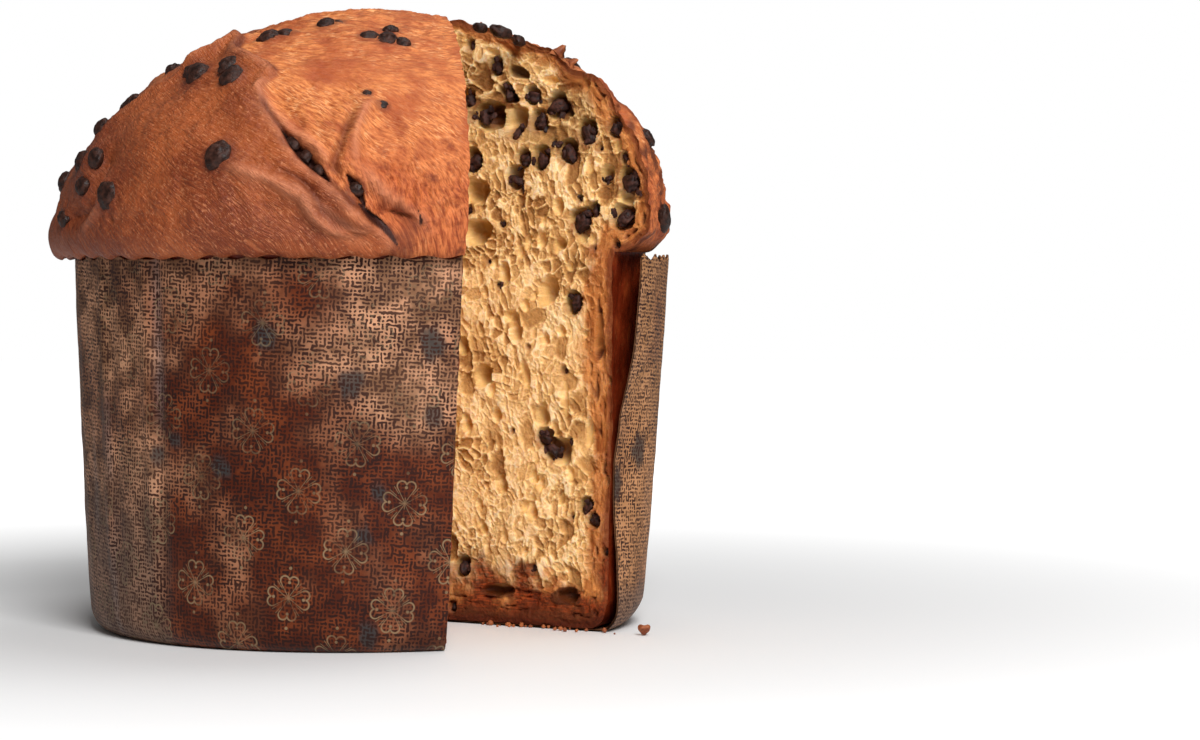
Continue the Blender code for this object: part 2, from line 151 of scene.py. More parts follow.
# %% [markdown]
# As the dome rose it tore into petals. Each fold is a route over the dome along which the
# dough is raised or sunk. A place on the dome is a turn round the axis and a bend from the top,
# in degrees, so a fold is given in them and still sits on the surface. A swelling is a single
# hump, or a flat stretch where its height is negative.

# %% Folds of the dome
FOLDS = (  # name, height and width in mm, route of turns and bends in degrees
    ("torn flap", 3.2, 5.0, ((-136, 44), (-131, 40), (-127, 35))),
    ("left ridge", 2.0, 6.0, ((-139, 50), (-147, 60), (-149, 67), (-146, 76))),
    ("left crease", -2.4, 4.0, ((-141, 76), (-142, 85), (-145, 94), (-149, 104))),
    ("petal crevice", -3.0, 5.0, ((-104, 62), (-100, 69), (-95, 77), (-90, 85), (-83, 95), (-79, 104))),
    ("petal edge", 1.8, 6.5, ((-121, 43), (-112, 53), (-106, 65), (-100, 74), (-94, 84), (-88, 94))),
    ("middle ridge", 2.2, 6.0, ((-86, 63), (-89, 74), (-90, 84), (-87, 92))),
    ("lower fold", 1.5, 6.0, ((-108, 79), (-99, 85), (-93, 91), (-85, 97))),
    ("back crease", -2.6, 6.0, ((150, 40), (128, 60), (118, 78), (112, 98))),
    ("back ridge", 2.4, 8.0, ((162, 45), (140, 64), (131, 82), (126, 100))),
    ("right crease", -2.2, 5.0, ((60, 30), (44, 52), (34, 74), (30, 98))),
    ("right ridge", 2.2, 7.0, ((76, 34), (58, 56), (48, 76), (44, 96))),
    ("rear tear", -2.2, 6.0, ((-172, 42), (-178, 62), (176, 82), (178, 100))),
)
SWELLINGS = (  # name, turn and bend in degrees, height and width in mm
    ("knob by the cut", -17, 40, 2.4, 7.0),
    ("shoulder knob", -18, 53, 2.8, 8.0),
    ("lower knob", -16, 66, 3.2, 9.0),
    ("lip over the cut", -21, 92, 1.6, 13.0),
    ("low left shoulder", -161, 46, -7.5, 42.0),
    ("flat left side", -176, 80, -2.6, 30.0),
    ("smooth petal", -115, 72, 1.4, 26.0),
)


def widest(turn):
    """Radius of the dome where it is widest."""
    return CROWN_RADIUS - CROWN_OFFSET * np.cos(turn) + 0.0005 * np.sin(turn) ** 2


def dome_place(turn, bend):
    """Plain surface of the dome: turn round the axis, bend down from the top."""
    turn = np.asarray(turn, dtype=float)
    bend = np.asarray(bend, dtype=float)
    radius = widest(turn)
    neck = loaf_side(turn, LIP_LEVEL)
    over = bend <= math.pi / 2
    out = np.where(over, radius * np.sin(bend), neck + (radius - neck) * np.sin(bend))
    drop = np.where(over, CROWN_HEIGHT - CROWN_LEVEL, CROWN_LEVEL - LIP_LEVEL)
    up = CROWN_LEVEL + drop * np.cos(bend)
    return np.stack((out * np.cos(turn), out * np.sin(turn), up), axis=-1)


def outward(turn, bend):
    """Direction in which the crust faces."""
    flat = np.sin(bend) / CROWN_RADIUS
    rise = np.cos(bend) / (CROWN_HEIGHT - CROWN_LEVEL)
    size = np.hypot(flat, rise)
    return np.stack((flat * np.cos(turn), flat * np.sin(turn), rise), axis=-1) / size[..., None]


def route_gap(places, route):
    """Distance of each place from a route over the dome, and how far along the route it is."""
    knots = dome_place(*np.radians(np.array(route, dtype=float)).T)
    gap = np.full(places.shape[:-1], np.inf)
    along = np.zeros(places.shape[:-1])
    for number, (start, end) in enumerate(zip(knots[:-1], knots[1:])):
        run = end - start
        share = np.clip((places - start) @ run / (run @ run), 0.0, 1.0)
        here = np.linalg.norm(places - start - share[..., None] * run, axis=-1)
        along = np.where(here < gap, (number + share) / (len(knots) - 1), along)
        gap = np.minimum(gap, here)
    return gap, along


def dome_relief(places):
    """Height of the folds, the swellings and the uneven crust over the plain dome, in metres."""
    relief = 0.9 * soft_noise(places, 0.030, 11) + 0.5 * soft_noise(places, 0.013, 12)
    for name, height, width, route in FOLDS:
        relief += height * bell(route_gap(places, route)[0], 0.0, width * MM)
    for name, turn, bend, height, width in SWELLINGS:
        middle = dome_place(math.radians(turn), math.radians(bend))
        relief += height * bell(np.linalg.norm(places - middle, axis=-1), 0.0, width * MM)
    return relief * MM


# %% [markdown]
# The crust has to end exactly on the two cuts. So its columns are not turned round the axis
# of the loaf: they fan out from the apex of the wedge, the long way round, from the left cut to
# the right one. Each row is found where such a ray meets the loaf at that level.


# %% Rays from the apex
EVEN_FROM = math.radians(60.0)


def apex_at(level):
    """The apex of the wedge, which slides along the right cut because the left one leans."""
    slide = KNIFE_LEAN * (level - LEAN_LEVEL) / math.sin(CUT_RIGHT - CUT_LEFT)
    along = np.array((math.cos(CUT_RIGHT), math.sin(CUT_RIGHT)))
    return APEX + slide[..., None] * along


def meet(way, level, radius_at):
    """Reach and turn at which rays from the apex at a level cross a given radius."""
    apex = apex_at(level)
    ray = np.stack((np.cos(way), np.sin(way)), axis=-1)
    toward = np.sum(apex * ray, axis=-1)
    turn = way
    for step in range(5):
        radius = radius_at(turn)
        reach = -toward + np.sqrt(toward ** 2 - np.sum(apex ** 2, axis=-1) + radius ** 2)
        spot = apex + reach[..., None] * ray
        turn = np.arctan2(spot[..., 1], spot[..., 0])
    return reach, turn


def dome_row(way, sweep):
    """Turn and bend on the dome along rays from the apex: first by reach, then evenly by bend."""
    level = np.full_like(way, CROWN_LEVEL)
    reach = meet(way, level, widest)[0] * math.sin(min(sweep, EVEN_FROM))
    ray = np.stack((np.cos(way), np.sin(way)), axis=-1)
    for step in range(6):
        spot = apex_at(level) + reach[..., None] * ray
        turn = np.arctan2(spot[..., 1], spot[..., 0])
        share = np.hypot(spot[..., 0], spot[..., 1]) / widest(turn)
        level = CROWN_LEVEL + (CROWN_HEIGHT - CROWN_LEVEL) * np.sqrt(1.0 - share ** 2)
    bend = np.arcsin(share)
    if sweep > EVEN_FROM:
        bend = bend + (math.pi / 2 - bend) * (sweep - EVEN_FROM) / (math.pi / 2 - EVEN_FROM)
        level = CROWN_LEVEL + (CROWN_HEIGHT - CROWN_LEVEL) * np.cos(bend)
        turn = meet(way, level, lambda t: widest(t) * np.sin(bend))[1]
    return turn, bend


def lip_row(way, bend):
    """Turn and bend on the underside of the dome, along the same rays."""
    level = np.full_like(way, CROWN_LEVEL + (CROWN_LEVEL - LIP_LEVEL) * math.cos(bend))
    neck = LIP_LEVEL
    turn = meet(way, level, lambda t: loaf_side(t, neck)
                + (widest(t) - loaf_side(t, neck)) * math.sin(bend))[1]
    return turn, np.full_like(way, bend)


# %% [markdown]
# Two helpers turn arrays into meshes. A sheet is a grid of places joined by four-sided faces,
# which is quick to make and easy to smooth. Values that change over a surface, such as how torn
# the crust is, are stored as attributes on its vertices, and the materials read them by name.


# %% Meshes from arrays
def new_piece(name, places, faces, values):
    """A smooth mesh object from places and faces, with named values on its vertices."""
    mesh = bpy.data.meshes.new(name)
    mesh.from_pydata(places.tolist(), [], faces)
    mesh.validate()
    for label, numbers in values.items():
        layer = mesh.attributes.new(label, "FLOAT", "POINT")
        layer.data.foreach_set("value", np.asarray(numbers, dtype=np.float32))
    mesh.shade_smooth()
    piece = bpy.data.objects.new(name, mesh)
    bpy.context.scene.collection.objects.link(piece)
    count = sum(len(face.vertices) - 2 for face in mesh.polygons)
    print(name, "has", len(mesh.vertices), "vertices and", count, "triangles")
    return piece


def sheet(name, places, values):
    """A piece from a grid of places, rows by columns, with values in the same grid."""
    rows, columns = places.shape[:2]
    spots = np.arange(rows * columns).reshape(rows, columns)
    corners = (spots[:-1, :-1], spots[1:, :-1], spots[1:, 1:], spots[:-1, 1:])
    faces = np.stack([corner.ravel() for corner in corners], axis=-1)
    flat = {label: numbers.ravel() for label, numbers in values.items()}
    return new_piece(name, places.reshape(-1, 3), faces.tolist(), flat)


# %% [markdown]
# Close up, the dome has three more kinds of form, each along a route like the folds. Ridges are
# soft swellings. Edges are where one petal lies over its neighbour: high on one side, with a
# sharp step down to the other. Slots are the narrow openings that tore between petals.

# %% Fine forms of the dome
RIDGES = (  # name, height and width in mm, route
    ("rolled ridge", 1.9, 1.6, ((-106, 54), (-107, 58), (-103, 64), (-99, 69), (-94, 74), (-91, 80))),
    ("small ridge", 0.5, 0.9, ((-96, 66), (-96, 71), (-93, 76))),
    ("valley", -2.2, 1.4, ((-87.5, 63), (-89, 70), (-90, 75), (-91, 79), (-89.5, 82))),
    ("valley side", 1.3, 1.4, ((-84.5, 62), (-86, 67), (-87, 72), (-87, 79))),
    ("lower fold", 2.0, 1.7, ((-110, 79), (-105, 81), (-101, 83), (-96, 87), (-94, 96), (-91, 118),
                              (-86, 136))),
    ("second fold", 1.1, 1.0, ((-98, 83.5), (-96, 85), (-94, 88), (-91, 97), (-87, 116), (-84, 123))),
    ("between folds", -1.4, 1.2, ((-101, 80), (-97, 82), (-94.5, 85), (-92.5, 91), (-89.5, 105), (-86, 116))),
    ("hollow", -2.2, 2.4, ((-81, 89), (-79, 101), (-78, 116), (-76, 130))),
    ("knuckle", 2.3, 2.1, ((-86.5, 79), (-82, 86), (-79, 90), (-76.5, 104), (-75, 120))),
    ("left fold", 1.6, 2.0, ((-137, 80), (-138, 88), (-141, 100), (-145, 122))),
    ("crown fold", 0.9, 2.2, ((-128, 24), (-108, 20), (-88, 22), (-72, 28))),
)
EDGES = (  # name, height, width on the high side and on the sharp side in mm, route
    ("flap", 2.0, 3.4, 0.5, ((-137, 46), (-132, 39), (-128, 35.5), (-125, 36), (-123, 40), (-119, 43.5),
                             (-113, 47), (-107, 50), (-104.5, 53))),
    ("petal edge", 2.0, 3.2, 0.35, ((-107, 59), (-104, 64.5), (-101, 69), (-98.5, 74), (-95, 79.5), (-92, 83),
                                   (-90, 86), (-88, 89), (-86, 93), (-83, 116), (-81, 136), (-80, 146))),
    ("rear petal", 1.2, 5.0, 0.7, ((150, 40), (128, 60), (118, 78), (112, 98))),
    ("right petal", 1.2, 5.0, 0.7, ((60, 30), (44, 52), (34, 74), (30, 98))),
)
SLOTS = (  # name, depth and half width in mm, route
    ("slot by the petal", 3.2, 1.9, ((-101, 68.5), (-98.3, 73), (-96, 76.5), (-93.5, 80), (-91.3, 83.5))),
    ("slot with a chip", 3.2, 1.6, ((-88.6, 81), (-87, 84.5), (-85.5, 89.5))),
    ("overlap line", 2.2, 0.9, ((-87, 88), (-85, 96), (-83, 114), (-81, 134), (-79.5, 148))),
    ("right crack", 1.3, 0.45, ((-76.5, 90), (-76, 106), (-76, 127))),
    ("left crease", 1.5, 0.8, ((-140.5, 75), (-141, 80), (-141.5, 86), (-143, 98), (-147, 122))),
    ("back crease", 1.6, 0.9, ((150, 40), (128, 60), (118, 78), (112, 98))),
    ("right crease", 1.6, 0.9, ((60, 30), (44, 52), (34, 74), (30, 98))),
    ("rear tear", 1.6, 1.0, ((-172, 42), (-178, 62), (176, 82), (178, 100))),
)


def side_of(places, route):
    """Distance from a route, signed: positive on the right of the way along it, seen from outside."""
    knots = dome_place(*np.radians(np.array(route, dtype=float)).T)
    gap = np.full(places.shape[:-1], np.inf)
    sign = np.ones(places.shape[:-1])
    for start, end in zip(knots[:-1], knots[1:]):
        run = end - start
        share = np.clip((places - start) @ run / (run @ run), 0.0, 1.0)
        off = places - start - share[..., None] * run
        here = np.linalg.norm(off, axis=-1)
        facing = (start + end) / 2.0 - np.array((0.0, 0.0, 0.10))
        turn_sign = np.where(np.cross(run, places - start) @ facing < 0.0, 1.0, -1.0)
        sign = np.where(here < gap, turn_sign, sign)
        gap = np.minimum(gap, here)
    return gap * sign


def fine_forms(places):
    """Relief in mm of ridges, edges and slots; shares of slot, painted ridge highlight and crease shade."""
    height = np.zeros(places.shape[:-1])
    slot = np.zeros_like(height)
    worn = np.zeros_like(height)
    crease = np.zeros_like(height)
    wobble = 0.35 * MM * soft_noise(places, 0.005, 45)
    for name, high, wide, route in RIDGES:
        gap, along = route_gap(places, route)
        ends = ease(along, 0.0, 0.15) * ease(1.0 - along, 0.0, 0.15)
        share = bell(gap + wobble, 0.0, wide * MM) * (0.25 + 0.75 * ends)
        height += high * share
        # share of painted highlight along the raised ridges
        worn = np.maximum(worn, share * (high > 0.9))
        # share of painted shade in the sunken valleys
        crease = np.maximum(crease, share * (high < -0.9) * 0.8)
    for name, high, wide, sharp, route in EDGES:
        gap = side_of(places, route) + wobble
        along = route_gap(places, route)[1]
        ends = ease(along, 0.0, 0.06) * ease(1.0 - along, 0.0, 0.06)
        share = np.where(gap > 0.0, bell(gap, 0.0, wide * MM), bell(gap, 0.0, sharp * MM)) * ends
        height += high * share
        # share of painted highlight on the high side of each edge
        worn = np.maximum(worn, 0.7 * bell(gap, 0.0008, 0.0014) * ends)
        # share of painted shade at the foot of each edge's sharp step
        crease = np.maximum(crease, bell(gap, -0.0007, 0.0009) * ends)
    for name, deep, half, route in SLOTS:
        gap, along = route_gap(places, route)
        room = half * MM * np.sin(math.pi * np.clip(along, 0.02, 0.98)) ** 0.7
        share = ease(1.0 - np.abs(gap + 0.5 * wobble) / room, -0.25, 0.8)
        height -= deep * share
        slot = np.maximum(slot, share)
    return height, slot, worn, crease


# %% [markdown]
# The crust shows three kinds of surface. Where a petal stayed whole, the crust is smooth and
# dark. Where the dough tore open while it rose, it is pale, orange and fibrous. Round the lip
# it is wrinkled. These shares are worked out from the place on the dome and kept as values.

# %% Kinds of crust
TORN_BORDER = (  # bend from the top, and the turn at which torn crust begins
    (0, -230), (18, -180), (27, -130), (36, -124), (43, -119), (47, -113), (50, -107), (53, -104.5),
    (58, -106), (64, -103), (69, -100), (74, -97), (79, -93.5), (83, -91), (89, -87), (96, -85),
    (116, -83), (136, -81), (180, -79),
)


def kinds_of_crust(places, turns, bends):
    """Share of torn crust, the place in mm eastwards and down, and how its fibres slant."""
    bend = np.degrees(bends)
    border = np.array(TORN_BORDER, dtype=float)
    away = turned_apart(turns, -110.0)
    limit = np.interp(bend, border[:, 0], border[:, 1] + 110.0)
    ragged = 1.3 * soft_noise(places, 0.006, 53)
    front_torn = ease(away - limit + ragged, -0.9, 0.9)
    rear = ease(np.abs(turned_apart(turns, -95.0)), 62.0, 80.0)
    patches = soft_noise(places, 0.030, 41) + 0.4 * soft_noise(places, 0.010, 42)
    rear_torn = 0.15 + 0.75 * ease(patches + 0.35 * np.cos(3.0 * turns), -0.1, 0.35)
    torn = front_torn * (1.0 - rear) + rear_torn * rear
    east = turned_apart(turns, -90.0) * 1.62 * np.sin(np.clip(bends, 0.35, math.pi / 2))
    east = east + 1.4 * soft_noise(places, 0.009, 43)
    down = np.minimum(bend, 90.0) * 1.55 + np.maximum(bend - 90.0, 0.0) * 0.17
    down = down + 1.4 * soft_noise(places, 0.009, 44)
    leaning = ease(bend + 0.5 * soft_noise(places, 0.02, 59) * 12.0, 46.0, 66.0) + ease(bend, 68.0, 86.0)
    slant = torn * leaning + (1.0 - torn)
    return torn, east, down, slant


SLANTS = (7.0, 42.0, 70.0)


def strokes(east, down, slant, length, width, seed):
    """Noise drawn out into strokes; the slant picks and blends the way that they run."""
    total = np.zeros(east.shape)
    for number, degrees in enumerate(SLANTS):
        c, s = math.cos(math.radians(degrees)), math.sin(math.radians(degrees))
        along, across = (east * c + down * s) / length, (down * c - east * s) / width
        share = np.clip(1.0 - np.abs(slant - number), 0.0, 1.0)
        total += share * soft_noise(np.stack((along, across, 0.0 * across), axis=-1), 1.0, seed + number)
    return total


# %% [markdown]
# After the relief has moved the crust outwards, the columns beside a cut are pressed back onto
# that cut, so that crust and crumb share one edge. The edge itself is a little ragged.


# %% Edges on the cuts
EDGE_WOBBLE = 0.00045


def cut_frame(way):
    """Directions along a cut and into the wedge."""
    along = np.array((math.cos(way), math.sin(way)))
    into = np.array((-along[1], along[0])) if way == CUT_LEFT else np.array((along[1], -along[0]))
    return along, into


def from_cut(places, way):
    """Signed distance of places from a cut, positive inside the wedge."""
    into = cut_frame(way)[1]
    return (places[..., :2] - apex_at(places[..., 2])) @ into


def press_to_cuts(places, base):
    """Keeps places beside a cut on it, apart from a slightly ragged edge."""
    for way in (CUT_LEFT, CUT_RIGHT):
        into = np.append(cut_frame(way)[1], 0.0)
        held = from_cut(base, way)
        near = bell(held, 0.0, 0.003)
        places = places - ((from_cut(places, way) - held) * near)[..., None] * into
        ragged = EDGE_WOBBLE * soft_noise(places, 0.0022, 51) * bell(held, 0.0, 0.0012)
        places = places + ragged[..., None] * into
    return places


# %% [markdown]
# Chips lie all over the dome. They are listed by turn, bend and size in mm, because the crust
# swells a little round each of them and takes on a stain, so it has to know them first.

# %% Chips of the dome
CHIPS_DOME = (  # turn and bend in degrees, size in mm
    (-131, 47, 7), (-127, 50, 9), (-117, 50, 7), (-114, 54, 7.5), (-111, 77, 8.5), (-151, 65, 7),
    (-149, 76, 7.5), (-144, 75, 7), (-136, 86, 8), (-146, 83, 6), (-87, 85, 4.8), (-98.6, 72.5, 4.4),
    (-96, 76, 4.2), (-93.6, 80, 3.4), (-116, 35, 7), (-112, 33.5, 6), (-109, 33, 4), (-99, 29, 6.5),
    (-95, 28, 4), (-84, 37, 6), (-79, 38, 7), (-75, 39.5, 5.5), (-77, 33, 5.2), (-82, 63, 3.6),
    (-85, 59.5, 2.8), (-79, 146, 4.8), (-153, 102, 6), (-10, 96, 9), (-14, 70, 6), (-8, 44, 7),
    (-24, 30, 7), (-30, 27, 5), (-18, 33, 5), (20, 58, 7.5), (38, 36, 7), (52, 80, 7.5),
    (75, 64, 7), (98, 42, 7.5), (91, 89, 8.5), (128, 72, 7.5), (142, 30, 7), (150, 92, 7),
    (164, 66, 7.5), (-170, 80, 7), (-164, 52, 7.5), (88, 24, 7), (172, 40, 6),
)

# %% [markdown]
# The dome is made as three sheets that meet edge to edge: a very fine one in front, where the
# big folds are, a fine one beside the right cut, and a coarser one round the back. The crumpled
# stretch beside the wedge and the wavy mark of the scalloped paper along the lip come on top.


# %% Crust of the dome
def draped(places, turns, bend, wave):
    """Lets the lip hang over the rim of the paper, except where the paper has sprung away."""
    before, after = bell(bend, 157.0, 15.0), bell(bend, 157.0, 7.0)
    free = ease(np.abs(turned_apart(turns, 8.0)), 48.0, 66.0)
    share = np.where(bend < 157.0, before, after) * free
    fuller = np.where(bend < 146.0, bell(bend, 146.0, 32.0), bell(bend, 146.0, 16.0)) * free
    around = np.stack((np.cos(turns), np.sin(turns), 0.0 * turns), axis=-1)
    places = places + around * (2.5 * MM * fuller)[..., None]
    places[..., 2] -= (2.9 + 0.55 * wave) * MM * share
    return places


def make_crust(name, ways, sweep_count, lip_count):
    """One sheet of the dome between two directions from the apex."""
    rows = [dome_row(ways, sweep) for sweep in np.radians(np.linspace(0.0, 90.0, sweep_count))]
    rows += [lip_row(ways, bend) for bend in np.radians(np.linspace(92.0, 180.0, lip_count))]
    turns, bends = (np.stack(part) for part in zip(*rows))
    plain = dome_place(turns, bends)
    bend = np.degrees(bends)
    fade = ease(150.0 - bend, 0.0, 50.0)
    forms, slot, worn, crease = fine_forms(plain)
    torn, east, down, slant = kinds_of_crust(plain, turns, bends)
    torn *= 1.0 - slot
    fibres = strokes(east, down, slant, 4.5, 1.3, 46) + 0.7 * strokes(east, down, slant, 2.6, 0.7, 86)
    crumple = ease(turned_apart(turns, -88.0), -2.0, 8.0) * ease(bend, 62.0, 80.0)
    crumple *= 1.0 - ease(turned_apart(turns, -88.0), 90.0, 110.0)
    knobbly = ease(turned_apart(turns, -45.0), 0.0, 18.0) * (1.0 - ease(turned_apart(turns, 30.0), 0.0, 25.0))
    folds = 1.0 - np.abs(soft_noise(plain * np.array((1.0, 1.0, 0.7)), 0.0040, 54)) * 2.4
    fine_folds = 1.0 - np.abs(soft_noise(plain, 0.0018, 55)) * 2.4
    lowering = ease(bend, 70.0, 96.0)
    fine = (0.35 + 0.65 * torn) * (0.36 * fibres + 0.12 * soft_noise(plain, 0.0013, 49))
    fine += 0.45 * soft_noise(plain, 0.0068, 95) + 0.22 * soft_noise(plain, 0.0034, 96)
    fine += crumple * (0.60 * folds + 0.30 * fine_folds) - 0.4 * crumple
    fine += knobbly * (0.9 * soft_noise(plain, 0.0075, 91) + 0.5 * soft_noise(plain, 0.0030, 92))
    fine += (1.0 - torn) * (0.20 * soft_noise(plain, 0.0030, 48) + 0.12 * soft_noise(plain, 0.0014, 50))
    fine += (1.0 - torn) * lowering * 0.30 * soft_noise(plain * np.array((1.0, 1.0, 0.4)), 0.0026, 56)
    burnt = ease(soft_noise(plain, 0.0060, 93) + 0.5 * soft_noise(plain, 0.0022, 94), 0.05, 0.75) * knobbly
    stain = np.zeros_like(bend)
    for turn_at, bend_at, size in CHIPS_DOME:
        gap = np.linalg.norm(plain - dome_place(math.radians(turn_at), math.radians(bend_at)), axis=-1) / MM
        stain = np.maximum(stain, 1.0 - ease(gap, 0.45 * size, 0.85 * size))
        fine += 0.10 * size * bell(gap, 0.0, 0.62 * size)
    wave = 0.8 * np.sin(turns * SCALLOPS + 1.6 * soft_noise(plain, 0.02, 57))
    wave += 1.2 * soft_noise(plain, 0.007, 58)
    relief = dome_relief(plain) + (forms + fine) * MM
    places = plain + outward(turns, bends) * (relief * fade)[..., None]
    places = draped(places, turns, bend, wave)
    places = press_to_cuts(places, plain)
    # the values include the shares of painted highlight on ridges and painted shade in creases
    values = {"torn": torn, "slot": slot, "worn": worn, "crease": crease, "east": east, "down": down,
              "slant": slant, "low": ease(bend, 62.0, 90.0), "crumple": crumple, "burnt": burnt,
              "stain": stain}
    return sheet(name, places, values), places


FRONT_END = math.radians(-172.0)
RIGHT_START = math.radians(-342.0)
front_ways = np.linspace(CUT_LEFT, FRONT_END, 330)
rear_ways = np.linspace(FRONT_END, RIGHT_START, 300)
right_ways = np.linspace(RIGHT_START, CUT_RIGHT - 2.0 * math.pi, 190)
crust_front, front_places = make_crust("crust_front", front_ways, 253, 45)
crust_rear = make_crust("crust_rear", rear_ways, 127, 23)[0]
crust_right, right_places = make_crust("crust_right", right_ways, 253, 45)

# %% [markdown]
# Under the lip the skin runs down inside the paper. Most of it is hidden, but beside the right
# cut the paper stands away and the dark, damp skin shows. It is a sheet of its own that begins
# where the dome ends, with a rounded foot and a flat base.

# %% Skin of the side
side_ways = np.concatenate((np.linspace(CUT_LEFT, RIGHT_START, 260, endpoint=False),
                            np.linspace(RIGHT_START, CUT_RIGHT - 2.0 * math.pi, 130)))


def side_row(height):
    """A row of places on the skin inside the paper."""
    level = np.full_like(side_ways, height)
    turn = meet(side_ways, level, lambda t: loaf_side(t, height))[1]
    out = loaf_side(turn, height)
    spot = np.stack((out * np.cos(turn), out * np.sin(turn), level), axis=-1)
    below = ease(LIP_LEVEL - level, 0.0, 0.004)
    shallow = 0.4 * (1.0 + soft_noise(spot, 0.016, 13)) * below
    drawn = 0.5 * soft_noise(spot * np.array((1.0, 1.0, 0.25)), 0.006, 52)
    out = out - (shallow - drawn * below) * MM
    return np.stack((out * np.cos(turn), out * np.sin(turn), level), axis=-1)


rows = [side_row(height) for height in np.linspace(LIP_LEVEL, BASE_CORNER + LOAF_BASE, 110)]
for sweep in np.radians(np.linspace(8.0, 90.0, 10)):
    level = np.full_like(side_ways, LOAF_BASE + BASE_CORNER * (1.0 - math.sin(sweep)))
    inset = 0.0008 + 0.0061 * (1.0 - math.cos(sweep))
    turn = meet(side_ways, level, lambda t: loaf_side(t, BASE_CORNER) - inset)[1]
    out = loaf_side(turn, BASE_CORNER) - inset
    rows.append(np.stack((out * np.cos(turn), out * np.sin(turn), level), axis=-1))
foot = rows[-1]
tip = np.append(apex_at(np.array(LOAF_BASE)), LOAF_BASE)
for share in np.linspace(0.0, 1.0, 14)[1:]:
    rows.append(foot + (tip - foot) * share)
side_base = np.stack(rows)
side = press_to_cuts(side_base, side_base)
side_round = np.arctan2(side[..., 1], side[..., 0]) * 85.0
skin = sheet("side_skin", side, {"around": side_round, "level": side[..., 2] / MM})

# %% [markdown]
# Baking chips hold their shape in the oven, but their skin wrinkles. Those on the dome are
# rounded lumps. Those in the crumb were cut or torn, so they are blocky, sit in little caves and
# stand hardly proud of the cut. Their places come first, because the crumb needs them too.

# %% Places of the chips
CHIPS_RIGHT = (  # distance from the apex, height, size, all in mm
    (17, 162, 5), (22.5, 157, 6), (31, 163.5, 5), (40, 162.5, 5), (34, 151.5, 5), (42, 154.5, 6),
    (27, 172, 5), (18.5, 143, 6), (37, 143.5, 5), (43, 143, 6), (34, 137, 6), (52.5, 145, 6.5),
    (59.5, 150.5, 7), (69, 152, 5), (49, 159.5, 6.5), (74, 136, 7), (57, 124, 7), (72, 125, 7),
    (62, 127.5, 4), (55, 99, 6), (44, 58, 5.5), (47, 54.5, 5.5), (59, 37.5, 4.5), (62, 33.5, 4.5),
    (14.5, 17, 5.5),
)
SPECKS_RIGHT = (
    (18.5, 156.5, 3), (72.5, 143, 3.4), (62, 116, 2.6), (66, 137, 3), (29, 123.5, 2.2), (16.5, 128, 3),
    (28, 104.5, 2.4), (53, 57, 2.4), (51.5, 79, 2.6), (40, 18, 2.6), (10.5, 4.5, 3), (18, 178.5, 3.4),
    (57, 131, 2.4), (33, 60, 1.8), (47, 51.5, 2), (24, 112, 1.8), (39, 86, 1.8), (70, 117, 2.6),
    (64, 146, 2.4), (47, 148, 2.4), (54, 34, 2), (66, 24, 2.4),
)
CHIP_STAND = 0.02
CHIP_STAND_SMALL = -0.10
CHIP_DEEP = 0.0023


def left_chips():
    """Seeded places of the chips on the left cut, none close to another."""
    rng = np.random.default_rng(5)
    found = []
    while len(found) < 14:
        reach, height = rng.uniform(10, 68), rng.uniform(12, 168)
        if all(math.hypot(reach - a, height - b) > 14 for a, b, c in found):
            found.append((reach, height, rng.uniform(4.5, 7.0)))
    return tuple(found)


CHIPS_LEFT = left_chips()

# %% [markdown]
# Each cut is a flat outline, given by the last column of the crust and of the side, filled with
# a fine web of triangles. A constrained triangulation keeps the outline exactly, so that no gap
# opens between crust and crumb, and fills the inside with an even lattice of points.


# %% Outline of a cut
def cut_outline(way, dome_column, side_column):
    """The cut's outline as reach and height: over the dome and down the side, and up the apex."""
    along = cut_frame(way)[0]
    edge = np.concatenate((dome_column, side_column[1:]))
    skin_line = np.stack(((edge[:, :2] - APEX) @ along, edge[:, 2]), axis=-1)
    levels = np.arange(LOAF_BASE + 0.0006, edge[0, 2] - 0.0004, 0.0006)
    inner = (apex_at(levels) - APEX) @ along
    return skin_line, np.stack((inner, levels), axis=-1)


def gap_to_line(points, line):
    """Distance of each point from a line of places, and the length along it to the nearest place."""
    gap = np.full(len(points), np.inf)
    passed = np.zeros(len(points))
    length = 0.0
    for start, end in zip(line[:-1], line[1:]):
        run = end - start
        size = run @ run
        if size > 0.0:
            share = np.clip((points - start) @ run / size, 0.0, 1.0)
            here = np.linalg.norm(points - start - share[:, None] * run, axis=-1)
            passed = np.where(here < gap, length + share * math.sqrt(size), passed)
            gap = np.minimum(gap, here)
            length += math.sqrt(size)
    return gap, passed


def inside(points, ring):
    """Whether each point lies inside a closed ring, by counting crossings."""
    found = np.zeros(len(points), dtype=bool)
    for (ax, ay), (bx, by) in zip(ring, np.roll(ring, -1, axis=0)):
        if ay != by:
            between = (points[:, 1] < ay) != (points[:, 1] < by)
            found ^= between & (points[:, 0] < (bx - ax) * (points[:, 1] - ay) / (by - ay) + ax)
    return found


def fill_outline(skin_line, inner_line, step):
    """Points and triangles that fill the outline of a cut."""
    ring = np.concatenate((skin_line, inner_line))
    keep = np.linalg.norm(ring - np.roll(ring, 1, axis=0), axis=-1) > 1e-6
    ring = ring[keep]
    rows = np.arange(ring[:, 1].min(), ring[:, 1].max(), step * 0.9)
    columns = np.arange(ring[:, 0].min(), ring[:, 0].max(), step)
    lattice = np.stack(np.meshgrid(columns, rows), axis=-1)
    lattice[1::2, :, 0] += step / 2.0
    lattice = lattice.reshape(-1, 2)
    lattice = lattice[inside(lattice, ring)]
    lattice = lattice[gap_to_line(lattice, np.append(ring, ring[:1], axis=0))[0] > step * 0.5]
    points = [Vector(point) for point in np.concatenate((ring, lattice)).tolist()]
    count = len(ring)
    edges = [(spot, (spot + 1) % count) for spot in range(count)]
    made = delaunay_2d_cdt(points, edges, [], 1, 1e-7)
    return np.array([tuple(point) for point in made[0]]), np.array([tuple(face) for face in made[2]])


